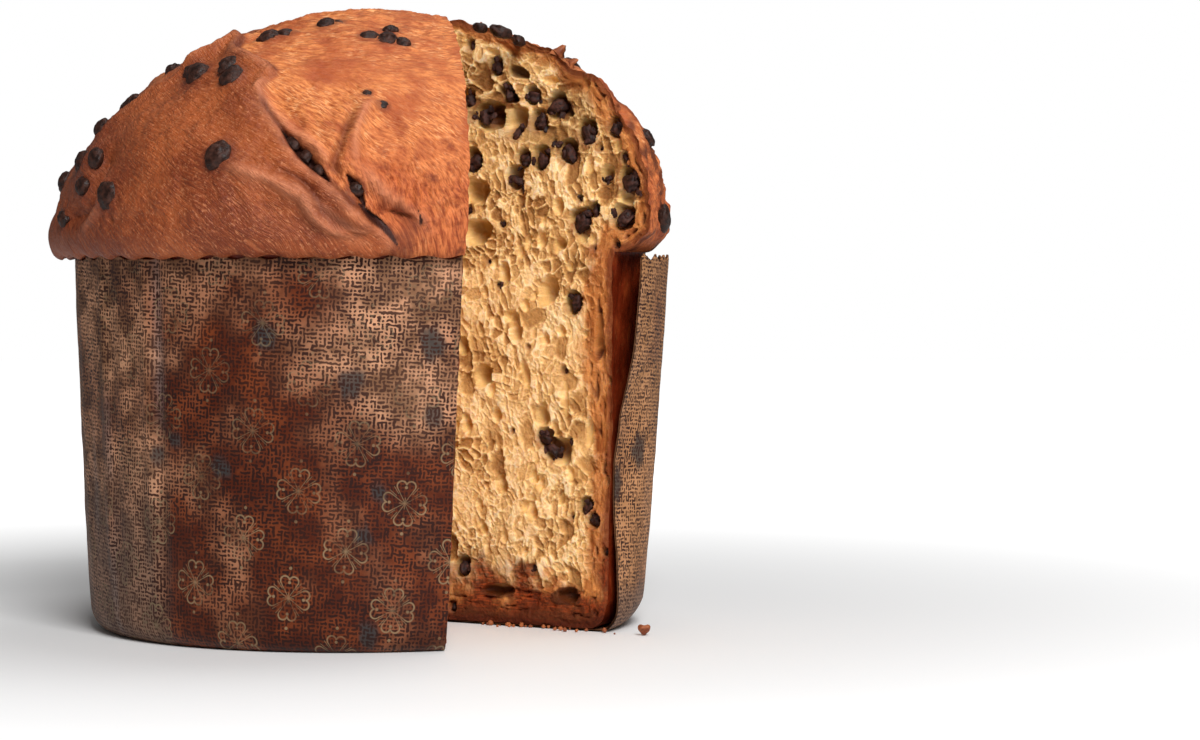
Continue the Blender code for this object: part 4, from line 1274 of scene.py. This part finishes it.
class Nodes:
    """A node tree, with one method that adds any node and short ones built on it."""

    def __init__(self, tree):
        self.tree = tree

    def add(self, kind, settings, values, out=0):
        node = self.tree.nodes.new(kind)
        for label, setting in settings.items():
            if label == "stops":
                self.set_stops(node, setting)
            else:
                setattr(node, label, setting)
        self.give(node, values)
        return Wire(self, node.outputs[out])

    def give(self, node, values):
        for label, value in values.items():
            socket = node.inputs[label]
            if isinstance(value, Wire):
                self.tree.links.new(value.socket, socket)
            else:
                socket.default_value = value

    def set_stops(self, node, stops):
        ramp = node.color_ramp
        while len(ramp.elements) < len(stops):
            ramp.elements.new(0.5)
        for element, (place, colour) in zip(ramp.elements, stops):
            element.position = place
            element.color = (*colour, 1.0)

    def value(self, label):
        return self.add("ShaderNodeAttribute", {"attribute_name": label}, {}, 2)

    def place(self):
        return self.add("ShaderNodeTexCoord", {}, {}, 3)

    def coordinate(self, axis):
        """One coordinate of the place on the loaf, in mm."""
        return self.add("ShaderNodeSeparateXYZ", {}, {0: self.place()}, axis) * (1.0 / MM)

    def vector(self, x, y, z=0.0):
        return self.add("ShaderNodeCombineXYZ", {}, {0: x, 1: y, 2: z})

    def noise(self, where, scale, detail=3.0, roughness=0.55):
        return self.add("ShaderNodeTexNoise", {}, {"Vector": where, "Scale": scale, "Detail": detail,
                                                   "Roughness": roughness})

    def strokes(self, east, down, slant, length, width, detail):
        total = 0.0
        for number, degrees in enumerate(SLANTS):
            c, s = math.cos(math.radians(degrees)), math.sin(math.radians(degrees))
            where = self.vector((east * c + down * s) / length, (down * c - east * s) / width, number)
            total = self.noise(where, 1.0, detail, 0.6) * (1.0 - abs(slant - number)).most(0.0) + total
        return total

    def cells(self, x, y, reach):
        """Share of pore in a field of random dots: 1 in the middle of a pore, 0 on its wall."""
        where = self.vector(x, y)
        flat, sockets = {"voronoi_dimensions": "2D"}, {"Vector": where, "Scale": 1.0}
        near = self.add("ShaderNodeTexVoronoi", flat, sockets, 0)
        tint = self.add("ShaderNodeTexVoronoi", flat, sockets, 1)
        draw = self.add("ShaderNodeSeparateColor", {}, {0: tint}, 0)
        return self.ease(near + draw * 0.34, reach, reach + 0.16, 1.0, 0.0)

    def toss(self, x, y):
        return self.add("ShaderNodeTexWhiteNoise", {"noise_dimensions": "2D"}, {"Vector": self.vector(x, y)})

    def ease(self, value, start, end, low=0.0, high=1.0):
        return self.add("ShaderNodeMapRange", {"interpolation_type": "SMOOTHSTEP"},
                        {0: value, 1: start, 2: end, 3: low, 4: high})

    def mix(self, share, first, second):
        as_colour = [(*c, 1.0) if isinstance(c, tuple) else c for c in (first, second)]
        sockets = {0: share, 6: as_colour[0], 7: as_colour[1]}
        return self.add("ShaderNodeMix", {"data_type": "RGBA"}, sockets, 2)

    def ramp(self, value, stops):
        return self.add("ShaderNodeValToRGB", {"stops": stops}, {0: value})

    def bump(self, height, distance, strength=1.0):
        return self.add("ShaderNodeBump", {}, {"Height": height, "Distance": distance, "Strength": strength})


class Finish(Nodes):
    """A new material and its shader."""

    def __init__(self, name):
        self.material = bpy.data.materials.new(name)
        self.material.use_nodes = True
        super().__init__(self.material.node_tree)
        self.shader = self.tree.nodes["Principled BSDF"]

    def done(self, links, settings):
        self.give(self.shader, {**links, **settings})
        return self.material


# %% [markdown]
# Crust colour comes from how long each part faced the heat. The whole petal is brown, the torn
# area orange with paler fibres and redder low down. Slots and creases are painted dark as painted
# shade, ridges lighter as a painted highlight, and the left flank darkest, as painted shade for the
# side away from the lamps. Fine speckles make it look baked and not painted.


# %% Crust finish
def crust_finish():
    paint = Finish("baked crust")
    place = paint.place()
    torn, slot, worn = paint.value("torn"), paint.value("slot"), paint.value("worn")
    low, crumple, crease = paint.value("low"), paint.value("crumple"), paint.value("crease")
    burnt, stain = paint.value("burnt"), paint.value("stain")
    east, down, slant = paint.value("east"), paint.value("down"), paint.value("slant")
    strands = paint.strokes(east, down, slant, 4.0, 1.0, 3.0)
    hairs = paint.strokes(east, down, slant, 2.6, 0.42, 2.0)
    speckle = paint.noise(place, 1100.0, 3.0, 0.65)
    mottle = paint.noise(place, 190.0, 4.0, 0.65)
    patch = paint.noise(place, 48.0, 3.0, 0.5)
    lump = paint.noise(place, 105.0, 2.0, 0.5)
    brown = paint.mix(paint.ease(patch, 0.36, 0.64), (0.200, 0.037, 0.009), (0.38, 0.088, 0.022))
    brown = paint.mix(paint.ease(mottle, 0.42, 0.72) * 0.55, brown, (0.15, 0.027, 0.009))
    brown = paint.mix(paint.ease(strands, 0.48, 0.68) * 0.38, brown, (0.50, 0.150, 0.052))
    brown = paint.mix(paint.ease(strands, 0.48, 0.34) * 0.30, brown, (0.12, 0.021, 0.008))
    brown = paint.mix(paint.ease(speckle + hairs, 1.06, 1.26) * 0.50, brown, (0.66, 0.26, 0.115))
    fluffy = paint.ease(paint.noise(place, 150.0, 2.0), 0.40, 0.62, 0.25, 1.0)
    pale = paint.mix(paint.ease(strands, 0.30, 0.68), (0.42, 0.095, 0.025), (0.80, 0.275, 0.082))
    pale = paint.mix(paint.ease(hairs, 0.51, 0.66) * fluffy * 0.62, pale, (1.00, 0.56, 0.27))
    pale = paint.mix(paint.ease(hairs, 0.47, 0.35) * 0.50, pale, (0.30, 0.056, 0.016))
    pale = paint.mix(paint.ease(mottle, 0.50, 0.66) * 0.35, pale, (0.32, 0.062, 0.018))
    pale = paint.mix(paint.ease(patch, 0.46, 0.62) * 0.65, pale, (0.40, 0.080, 0.022))
    pale = paint.mix(paint.ease(lump, 0.50, 0.66) * 0.60, pale, (0.32, 0.056, 0.016))
    red = paint.mix(paint.ease(strands, 0.34, 0.60), (0.22, 0.032, 0.008), (0.60, 0.155, 0.045))
    red = paint.mix(paint.ease(hairs, 0.47, 0.35) * 0.65, red, (0.14, 0.023, 0.008))
    pale = paint.mix(low * 0.65, pale, red)
    pale = paint.mix(paint.ease(mottle, 0.54, 0.70) * crumple * 0.75, pale, (0.15, 0.026, 0.009))
    colour = paint.mix(torn, brown, pale)
    # painted highlight: ridges and the high side of petal edges are painted lighter
    colour = paint.mix(worn * 0.62, colour, paint.mix(hairs, (0.40, 0.105, 0.045), (0.78, 0.31, 0.155)))
    colour = paint.mix(burnt * 0.85, colour, (0.10, 0.020, 0.008))
    colour = paint.mix(stain * 0.55, colour, (0.13, 0.026, 0.012))
    # painted shade: the left flank, left of about x = -36 mm, is painted darker
    painted_left_shade = paint.ease(paint.coordinate(0) + patch * 30.0, -66.0, -36.0, 1.0, 0.0)
    colour = paint.mix(painted_left_shade * 0.55, colour, paint.mix(speckle, (0.10, 0.018, 0.007), (0.24, 0.055, 0.020)))
    # painted shade: creases and the foot of petal edges are painted dark
    colour = paint.mix(crease * 0.80, colour, (0.095, 0.018, 0.008))
    # painted shade: the inside of each slot is painted almost black
    colour = paint.mix(paint.ease(slot, 0.15, 0.75), colour, (0.040, 0.010, 0.006))
    height = strands * 0.8 + hairs * 0.5 + speckle * 0.45 + mottle * 0.8
    rough = paint.ease(torn * 0.5 + speckle * 0.4 + hairs * 0.4, 0.2, 1.2, 0.44, 0.68)
    return paint.done({"Base Color": colour, "Roughness": rough, "Normal": paint.bump(height, 0.0008, 0.9)},
                      {"Specular IOR Level": 0.25})


# %% [markdown]
# The skin inside the paper steamed rather than baked, so it is a dark red brown with a damp
# shine and paler streaks where the paper pulled at it.


# %% Side finish
def side_finish():
    paint = Finish("side skin")
    streaks = paint.noise(paint.vector(paint.value("around") * 0.16, paint.value("level") * 0.07), 1.0, 4.0)
    spots = paint.noise(paint.place(), 160.0, 3.0)
    threads = paint.noise(paint.vector(paint.value("around") * 1.5, paint.value("level") * 0.5), 1.0, 2.0)
    colour = paint.ramp(streaks, ((0.34, (0.090, 0.008, 0.002)), (0.55, (0.190, 0.021, 0.004)),
                                  (0.72, (0.36, 0.062, 0.011))))
    colour = paint.mix(paint.ease(threads, 0.60, 0.72) * 0.35, colour, (0.46, 0.15, 0.045))
    colour = paint.mix(paint.ease(spots, 0.62, 0.70) * 0.5, colour, (0.060, 0.013, 0.007))
    rough = paint.ease(streaks, 0.3, 0.7, 0.30, 0.5)
    height = paint.noise(paint.place(), 500.0, 3.0)
    return paint.done({"Base Color": colour, "Roughness": rough, "Normal": paint.bump(height, 0.0004)},
                      {"Specular IOR Level": 0.28})


# %% [markdown]
# Crumb is pale on its torn walls and painted darker inside the pores: golden as painted light for
# light that comes through the thin walls, and brown in deeper pores and big bubbles as painted shade.
# Towards the crust it browns, most of all at the foot, where the loaf was hottest, and round the
# chips it is stained. A little light is let into the material for that softness.


# %% Crumb finish
def crumb_finish():
    paint = Finish("crumb")
    place = paint.place()
    pore, smooth, rim, big = (paint.value(label) for label in ("pore", "smooth", "rim", "big"))
    cave = paint.value("cave")
    toast, stain, cracks = paint.value("toast"), paint.value("stain"), paint.value("cracks")
    across, up = paint.value("across"), paint.value("up")
    level = paint.coordinate(2)
    grain = paint.noise(place, 1500.0, 3.0, 0.6)
    patch = paint.noise(place, 70.0, 3.0, 0.55)
    strands = paint.noise(paint.vector(paint.value("passed") * 0.25, rim * 1.6), 1.0, 3.0, 0.6)
    dense = paint.ease(level + (patch - 0.5) * 90.0, 95.0, 165.0, 0.40, 1.0)
    fine = paint.cells(across / 2.4, up / 3.1, 0.44) * dense
    fine = fine + paint.cells(across / 1.3 + 20.0, up / 1.65, 0.36) * 0.62
    fine = fine + paint.cells(across / 0.8 + 40.0, up / 0.95, 0.30) * 0.25
    fine = fine * (1.0 - smooth * 0.85)
    # painted shade: deeper pores are painted darker, from golden to brown
    hollow = pore * paint.ease(level, 60.0, 150.0, 1.20, 1.55) + fine * 0.16 + (grain - 0.5) * 0.10
    colour = paint.ramp(hollow, ((0.00, (0.98, 0.74, 0.45)), (0.14, (0.94, 0.63, 0.31)),
                                 (0.34, (0.76, 0.45, 0.18)), (0.60, (0.48, 0.235, 0.075)),
                                 (0.95, (0.25, 0.098, 0.026))))
    colour = paint.mix(paint.ease(patch, 0.42, 0.70) * 0.28, colour, (0.80, 0.44, 0.15))
    colour = paint.mix(smooth * 0.60, colour, (0.82, 0.52, 0.185))
    # painted shade: the deeper parts of big bubbles are painted darker
    colour = paint.mix(paint.ease(big, 0.55, 1.3) * 0.65, colour, (0.36, 0.175, 0.050))
    band = paint.ease(toast + (strands - 0.5) * 0.4, -0.35, 0.30)
    streaky = paint.ease(patch * 0.6 + strands * 0.4, 0.36, 0.62)
    toasted = paint.mix(streaky, (0.36, 0.090, 0.018), (0.64, 0.235, 0.056))
    toasted = paint.mix(paint.ease(hollow, 0.10, 0.55) * 0.5, toasted, (0.24, 0.050, 0.010))
    colour = paint.mix(band * 0.90, colour, toasted)
    colour = paint.mix(cracks * 0.85, colour, (0.100, 0.020, 0.007))
    dark = paint.ease(rim + (strands - 0.5) * 3.0, 0.9, 3.2, 1.0, 0.0)
    colour = paint.mix(dark * 0.85, colour, (0.17, 0.036, 0.011))
    foot = paint.ease(level + (patch - 0.5) * 44.0, 9.0, 20.0, 1.0, 0.0)
    uneven = paint.ease(strands + fine * 0.2, 0.35, 0.68)
    foot_colour = paint.mix(uneven, (0.30, 0.042, 0.006), (0.080, 0.009, 0.002))
    deep_foot = paint.ease(level + (patch - 0.5) * 12.0, 3.0, 9.0, 1.0, 0.0)
    foot_colour = paint.mix(deep_foot * 0.9, foot_colour, (0.060, 0.008, 0.002))
    colour = paint.mix(foot * 0.92, colour, foot_colour)
    colour = paint.mix(stain * 0.70, colour, (0.26, 0.085, 0.035))
    colour = paint.mix(cave * 0.85, colour, (0.075, 0.018, 0.005))
    height = grain * 0.30 + paint.noise(place, 700.0, 2.0) * 0.4 - fine * 0.22
    rough = paint.ease(smooth, 0.0, 1.0, 0.80, 0.42)
    return paint.done({"Base Color": colour, "Roughness": rough, "Normal": paint.bump(height, 0.0006, 0.8)},
                      {"Specular IOR Level": 0.15, "Subsurface Weight": 0.30,
                       "Subsurface Radius": (0.0040, 0.0020, 0.0007), "Subsurface Scale": 0.25})


# %% [markdown]
# Chocolate that went through the oven loses its gloss in places and greys a little where fat
# has come to its surface. In the crumb it is matt where it was broken.


# %% Chocolate finish
def chocolate_finish(name, dark, light, bloomed, gloss):
    paint = Finish(name)
    grain = paint.noise(paint.place(), 700.0, 4.0)
    bloom = paint.noise(paint.place(), 260.0, 3.0)
    colour = paint.ramp(grain, ((0.38, dark), (0.72, light)))
    colour = paint.mix(paint.ease(bloom, 0.56, 0.74) * 0.45, colour, bloomed)
    rough = paint.ease(grain, 0.3, 0.7, gloss, gloss + 0.25)
    return paint.done({"Base Color": colour, "Roughness": rough, "Normal": paint.bump(grain, 0.0006, 0.8)},
                      {"Specular IOR Level": 0.22})


# %% [markdown]
# The paper's print has two layers. The lower one looks like coarse weave: a dot at each crossing
# of a small lattice, joined to its neighbour or not by the toss of a coin. The upper one is a
# slanting lattice of clovers, each of four heart-shaped leaves. A heart is drawn as a straight
# flank and a round lobe, and folding the plane into an eighth lets one of them make all four.

# %% Paper finish
WEAVE_MM = 1.16
CLOVER_PITCH = 21.8
CLOVER_SLANT = math.radians(51.6)
CLOVER_TURN = math.radians(6.0)
CLOVER_START = (-135.6, 29.6)


def woven_print(paint, x, y):
    """Share of dark ink of the weave at a place in weave cells."""
    column, row = x.floor(), y.floor()
    across, up = x - column - 0.5, y - row - 0.5
    right, above = across > 0.0, up > 0.0
    dot = across.length(up) - 0.05 + (paint.toss(column + 0.2, row + 0.7) < 0.08) * 9.0
    bar_across = abs(up) + (paint.toss(column + right, row) < 0.74) * 9.0
    bar_up = abs(across) + (paint.toss(column + 0.37, row + above + 0.61) < 0.77) * 9.0
    uneven = paint.noise(paint.vector(x * 0.9, y * 0.9), 1.0, 1.0) * 0.36
    return paint.ease(dot.least(bar_across).least(bar_up) - uneven, 0.03, 0.18, 1.0, 0.0)


def turned(x, y, angle):
    """A place turned about the origin."""
    c, s = math.cos(angle), math.sin(angle)
    return x * c - y * s, x * s + y * c


def clover_print(paint, x, y):
    """Share of gold ink of the clovers at a place in mm."""
    x, y = turned(x - CLOVER_START[0], y - CLOVER_START[1], CLOVER_SLANT)
    p, q = x / CLOVER_PITCH, y / CLOVER_PITCH
    p, q = p - (p + 0.5).floor(), q - (q + 0.5).floor()
    x, y = turned(p * CLOVER_PITCH, q * CLOVER_PITCH, CLOVER_TURN - CLOVER_SLANT)
    far, near = abs(x).most(abs(y)), abs(x).least(abs(y))
    off_far, off_near = far - 4.95, near - 1.35
    lobe_side = (off_far * 0.927 + off_near * 0.375) > -0.24
    lobe = abs(off_far.length(off_near) - 1.38) + (1.0 - lobe_side) * 9.0
    past = far * 0.85 + near * 0.53
    flank = abs(near * 0.85 - far * 0.53 + 0.095) + (past > 4.92) * 9.0 + (past < 0.9) * 9.0
    line = lobe.least(flank) - paint.ease(far, 2.5, 6.0, 0.05, 0.20)
    bud = (far - 4.55).length(near) - 0.42
    stamen = abs(near * 0.80 - far * 0.60 - 0.05) + (far > 4.7) * 9.0 + (far < 2.6) * 9.0 - 0.05
    ray = near.least(abs(far - near * 1.9) * 0.5) - 0.06 + (far > 1.7) * 9.0
    dots = x.length(abs(y) - 8.7) - 0.45
    shape = line.least(bud).least(stamen).least(ray).least(dots)
    return paint.ease(shape, -0.06, 0.12, 1.0, 0.0)


def paper_finish():
    paint = Finish("printed baking paper")
    around, up, within = paint.value("around"), paint.value("up"), paint.value("within")
    dry, grey, smudge, strip = (paint.value(label) for label in ("dry", "grey", "smudge", "strip"))
    place = paint.place()
    warp = (paint.noise(place, 430.0, 2.0) - 0.5) * 1.7
    other = (paint.noise(place, 390.0, 2.0) - 0.5) * 1.7
    slanted_x, slanted_y = turned(around, up, 0.05)
    ink = woven_print(paint, slanted_x / WEAVE_MM + warp * 0.8, slanted_y / WEAVE_MM + other * 0.8)
    clover = clover_print(paint, around, up)
    blotch = paint.noise(place, 95.0, 3.0, 0.6)
    fade_ink = paint.ease(paint.noise(place, 60.0, 2.0), 0.35, 0.65, 0.82, 1.0)
    sheen = paint.value("sheen")
    tan = paint.mix(paint.ease(blotch, 0.38, 0.68), (0.165, 0.076, 0.037), (0.560, 0.280, 0.155))
    tan = paint.mix(strip * 0.7, tan, (0.50, 0.235, 0.095))
    greasy = paint.mix(paint.ease(blotch, 0.36, 0.68), (0.066, 0.011, 0.003), (0.165, 0.036, 0.010))
    ground = paint.mix(dry, greasy, tan)
    # painted sheen: the lower left of the wall is painted greyer
    ground = paint.mix(grey * 0.60, ground, (0.155, 0.100, 0.075))
    ground = paint.mix(smudge * 0.85, ground, (0.030, 0.033, 0.033))
    # painted highlight: light streaks along the folds
    ground = paint.mix(sheen * 0.42, ground, (0.24, 0.20, 0.19))
    dark = paint.mix(dry, (0.022, 0.006, 0.004), (0.040, 0.013, 0.008))
    colour = paint.mix(ink * fade_ink, ground, dark)
    gold = paint.mix(dry, (0.260, 0.170, 0.090), (0.190, 0.140, 0.080))
    wear = paint.ease(paint.noise(place, 120.0, 2.0), 0.3, 0.6, 0.25, 0.85)
    bright = paint.ease(up - around * 0.25, 60.0, 110.0, 1.0, 0.45)
    colour = paint.mix(clover * wear * bright * (1.0 - strip * 0.85), colour, gold)
    colour = paint.mix(within * 0.9, colour, (0.20, 0.085, 0.040))
    fibre = paint.noise(place, 1300.0, 2.0)
    rough = paint.ease(dry + blotch * 0.3 - sheen * 0.6, 0.2, 1.1, 0.40, 0.60)
    return paint.done({"Base Color": colour, "Roughness": rough, "Normal": paint.bump(fibre, 0.0002, 0.5)},
                      {"Specular IOR Level": 0.14})


# %% [markdown]
# Flakes and crumbs are crust too, but broken, so they are matt and vary from dark to golden.


# %% Flake finish
def flake_finish():
    paint = Finish("torn crust flake")
    tone = paint.noise(paint.place(), 320.0, 3.0)
    colour = paint.ramp(tone, ((0.35, (0.16, 0.035, 0.012)), (0.60, (0.42, 0.13, 0.042))))
    rough = paint.ease(tone, 0.3, 0.7, 0.5, 0.65)
    return paint.done({"Base Color": colour, "Roughness": rough}, {"Specular IOR Level": 0.3})


# %% [markdown]
# Each piece gets its material here. It is also tied to the body that carries it and to the
# solid that it stands in for.

# %% Finishes onto the pieces
crust_paint, flake_paint = crust_finish(), flake_finish()
chocolate = chocolate_finish("baked chocolate", (0.012, 0.0045, 0.003), (0.058, 0.019, 0.011),
                             (0.080, 0.034, 0.024), 0.34)
broken_chocolate = chocolate_finish("broken chocolate", (0.016, 0.006, 0.005), (0.085, 0.030, 0.021),
                                    (0.13, 0.045, 0.026), 0.50)
crumb_paint = crumb_finish()
dressed = [(crust_front, crust_paint, "crust"), (crust_rear, crust_paint, "crust"),
           (crust_right, crust_paint, "crust"), (skin, side_finish(), "crust"),
           (flakes, flake_paint, "crust"), (crumbs, flake_paint, "crust"),
           (dome_chips, chocolate, "chocolate"), (crumb_chips, broken_chocolate, "chocolate"),
           (case, paper_finish(), "paper")]
dressed += [(piece, crumb_paint, "crumb") for piece in crumb_pieces]
for piece, material, slot in dressed:
    piece.data.materials.append(material)
    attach(piece, "root")
    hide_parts("paper_case" if piece == case else "cake")

# %% [markdown]
# The stage is plain: a pale floor, a white surround, and large soft lamps. The strongest stands
# high behind the camera, so that the front is bright and both sides fall off into shade. The
# surround looks white to the camera but gives little light, which keeps the browns deep.

# %% Floor, light and camera
floor_bm = bmesh.new()
bmesh.ops.create_grid(floor_bm, x_segments=2, y_segments=2, size=3.0)
floor_mesh = bpy.data.meshes.new("floor")
floor_bm.to_mesh(floor_mesh)
floor_bm.free()
floor = bpy.data.objects.new("floor", floor_mesh)
bpy.context.scene.collection.objects.link(floor)
floor_paint = Finish("pale floor")
cloudy = floor_paint.noise(floor_paint.place(), 3.0, 2.0)
floor_colour = floor_paint.mix(cloudy, (0.84, 0.84, 0.84), (0.88, 0.88, 0.88))
floor_place = floor_paint.place()
from_loaf = floor_paint.add("ShaderNodeVectorMath", {"operation": "LENGTH"}, {0: floor_place}, 1)
seen_floor = floor_paint.add("ShaderNodeLightPath", {}, {}, 0)
far_off = floor_paint.ease(from_loaf, 0.08, 0.7)
glow = floor_paint.mix(far_off * seen_floor, (0.0, 0.0, 0.0), (0.85, 0.85, 0.85))
floor.data.materials.append(floor_paint.done({"Base Color": floor_colour, "Emission Color": glow},
                                             {"Roughness": 0.6, "Emission Strength": 1.0}))


def soft_lamp(name, place, target, size, power):
    """A square area lamp that points at a target."""
    lamp = bpy.data.lights.new(name, "AREA")
    lamp.size = size
    lamp.energy = power
    holder = bpy.data.objects.new(name, lamp)
    holder.location = place
    holder.rotation_euler = (Vector(target) - Vector(place)).to_track_quat("-Z", "Y").to_euler()
    bpy.context.scene.collection.objects.link(holder)
    return holder


SEEN_STRENGTH = 1.0
LIT_STRENGTH = 0.14
middle = (0.0, 0.0, 0.09)
soft_lamp("key", (0.42, -1.30, 1.08), middle, 0.7, 31.0)
soft_lamp("top", (0.3, 0.3, 1.5), middle, 0.8, 6.0)
world = bpy.data.worlds.new("surround")
world.use_nodes = True
surround = Nodes(world.node_tree)
seen = surround.add("ShaderNodeLightPath", {}, {}, 0)
strength = seen * (SEEN_STRENGTH - LIT_STRENGTH) + LIT_STRENGTH
surround.give(world.node_tree.nodes["Background"], {"Color": (1.0, 1.0, 1.0, 1.0), "Strength": strength})
bpy.context.scene.world = world
bpy.context.scene.view_settings.view_transform = "Standard"

PHOTO_WIDE = 1200.0
FOCUS_PIXELS = 3160.0
camera_data = bpy.data.cameras.new("camera")
camera_data.sensor_width = 36.0
camera_data.lens = FOCUS_PIXELS / PHOTO_WIDE * camera_data.sensor_width
camera = bpy.data.objects.new("camera", camera_data)
camera.location = (0.0732, -0.98, 0.108)
camera.rotation_euler = (math.radians(90.0 - 1.72), 0.0, 0.0)
bpy.context.scene.collection.objects.link(camera)
bpy.context.scene.camera = camera
print("lens in mm:", round(camera_data.lens, 1))
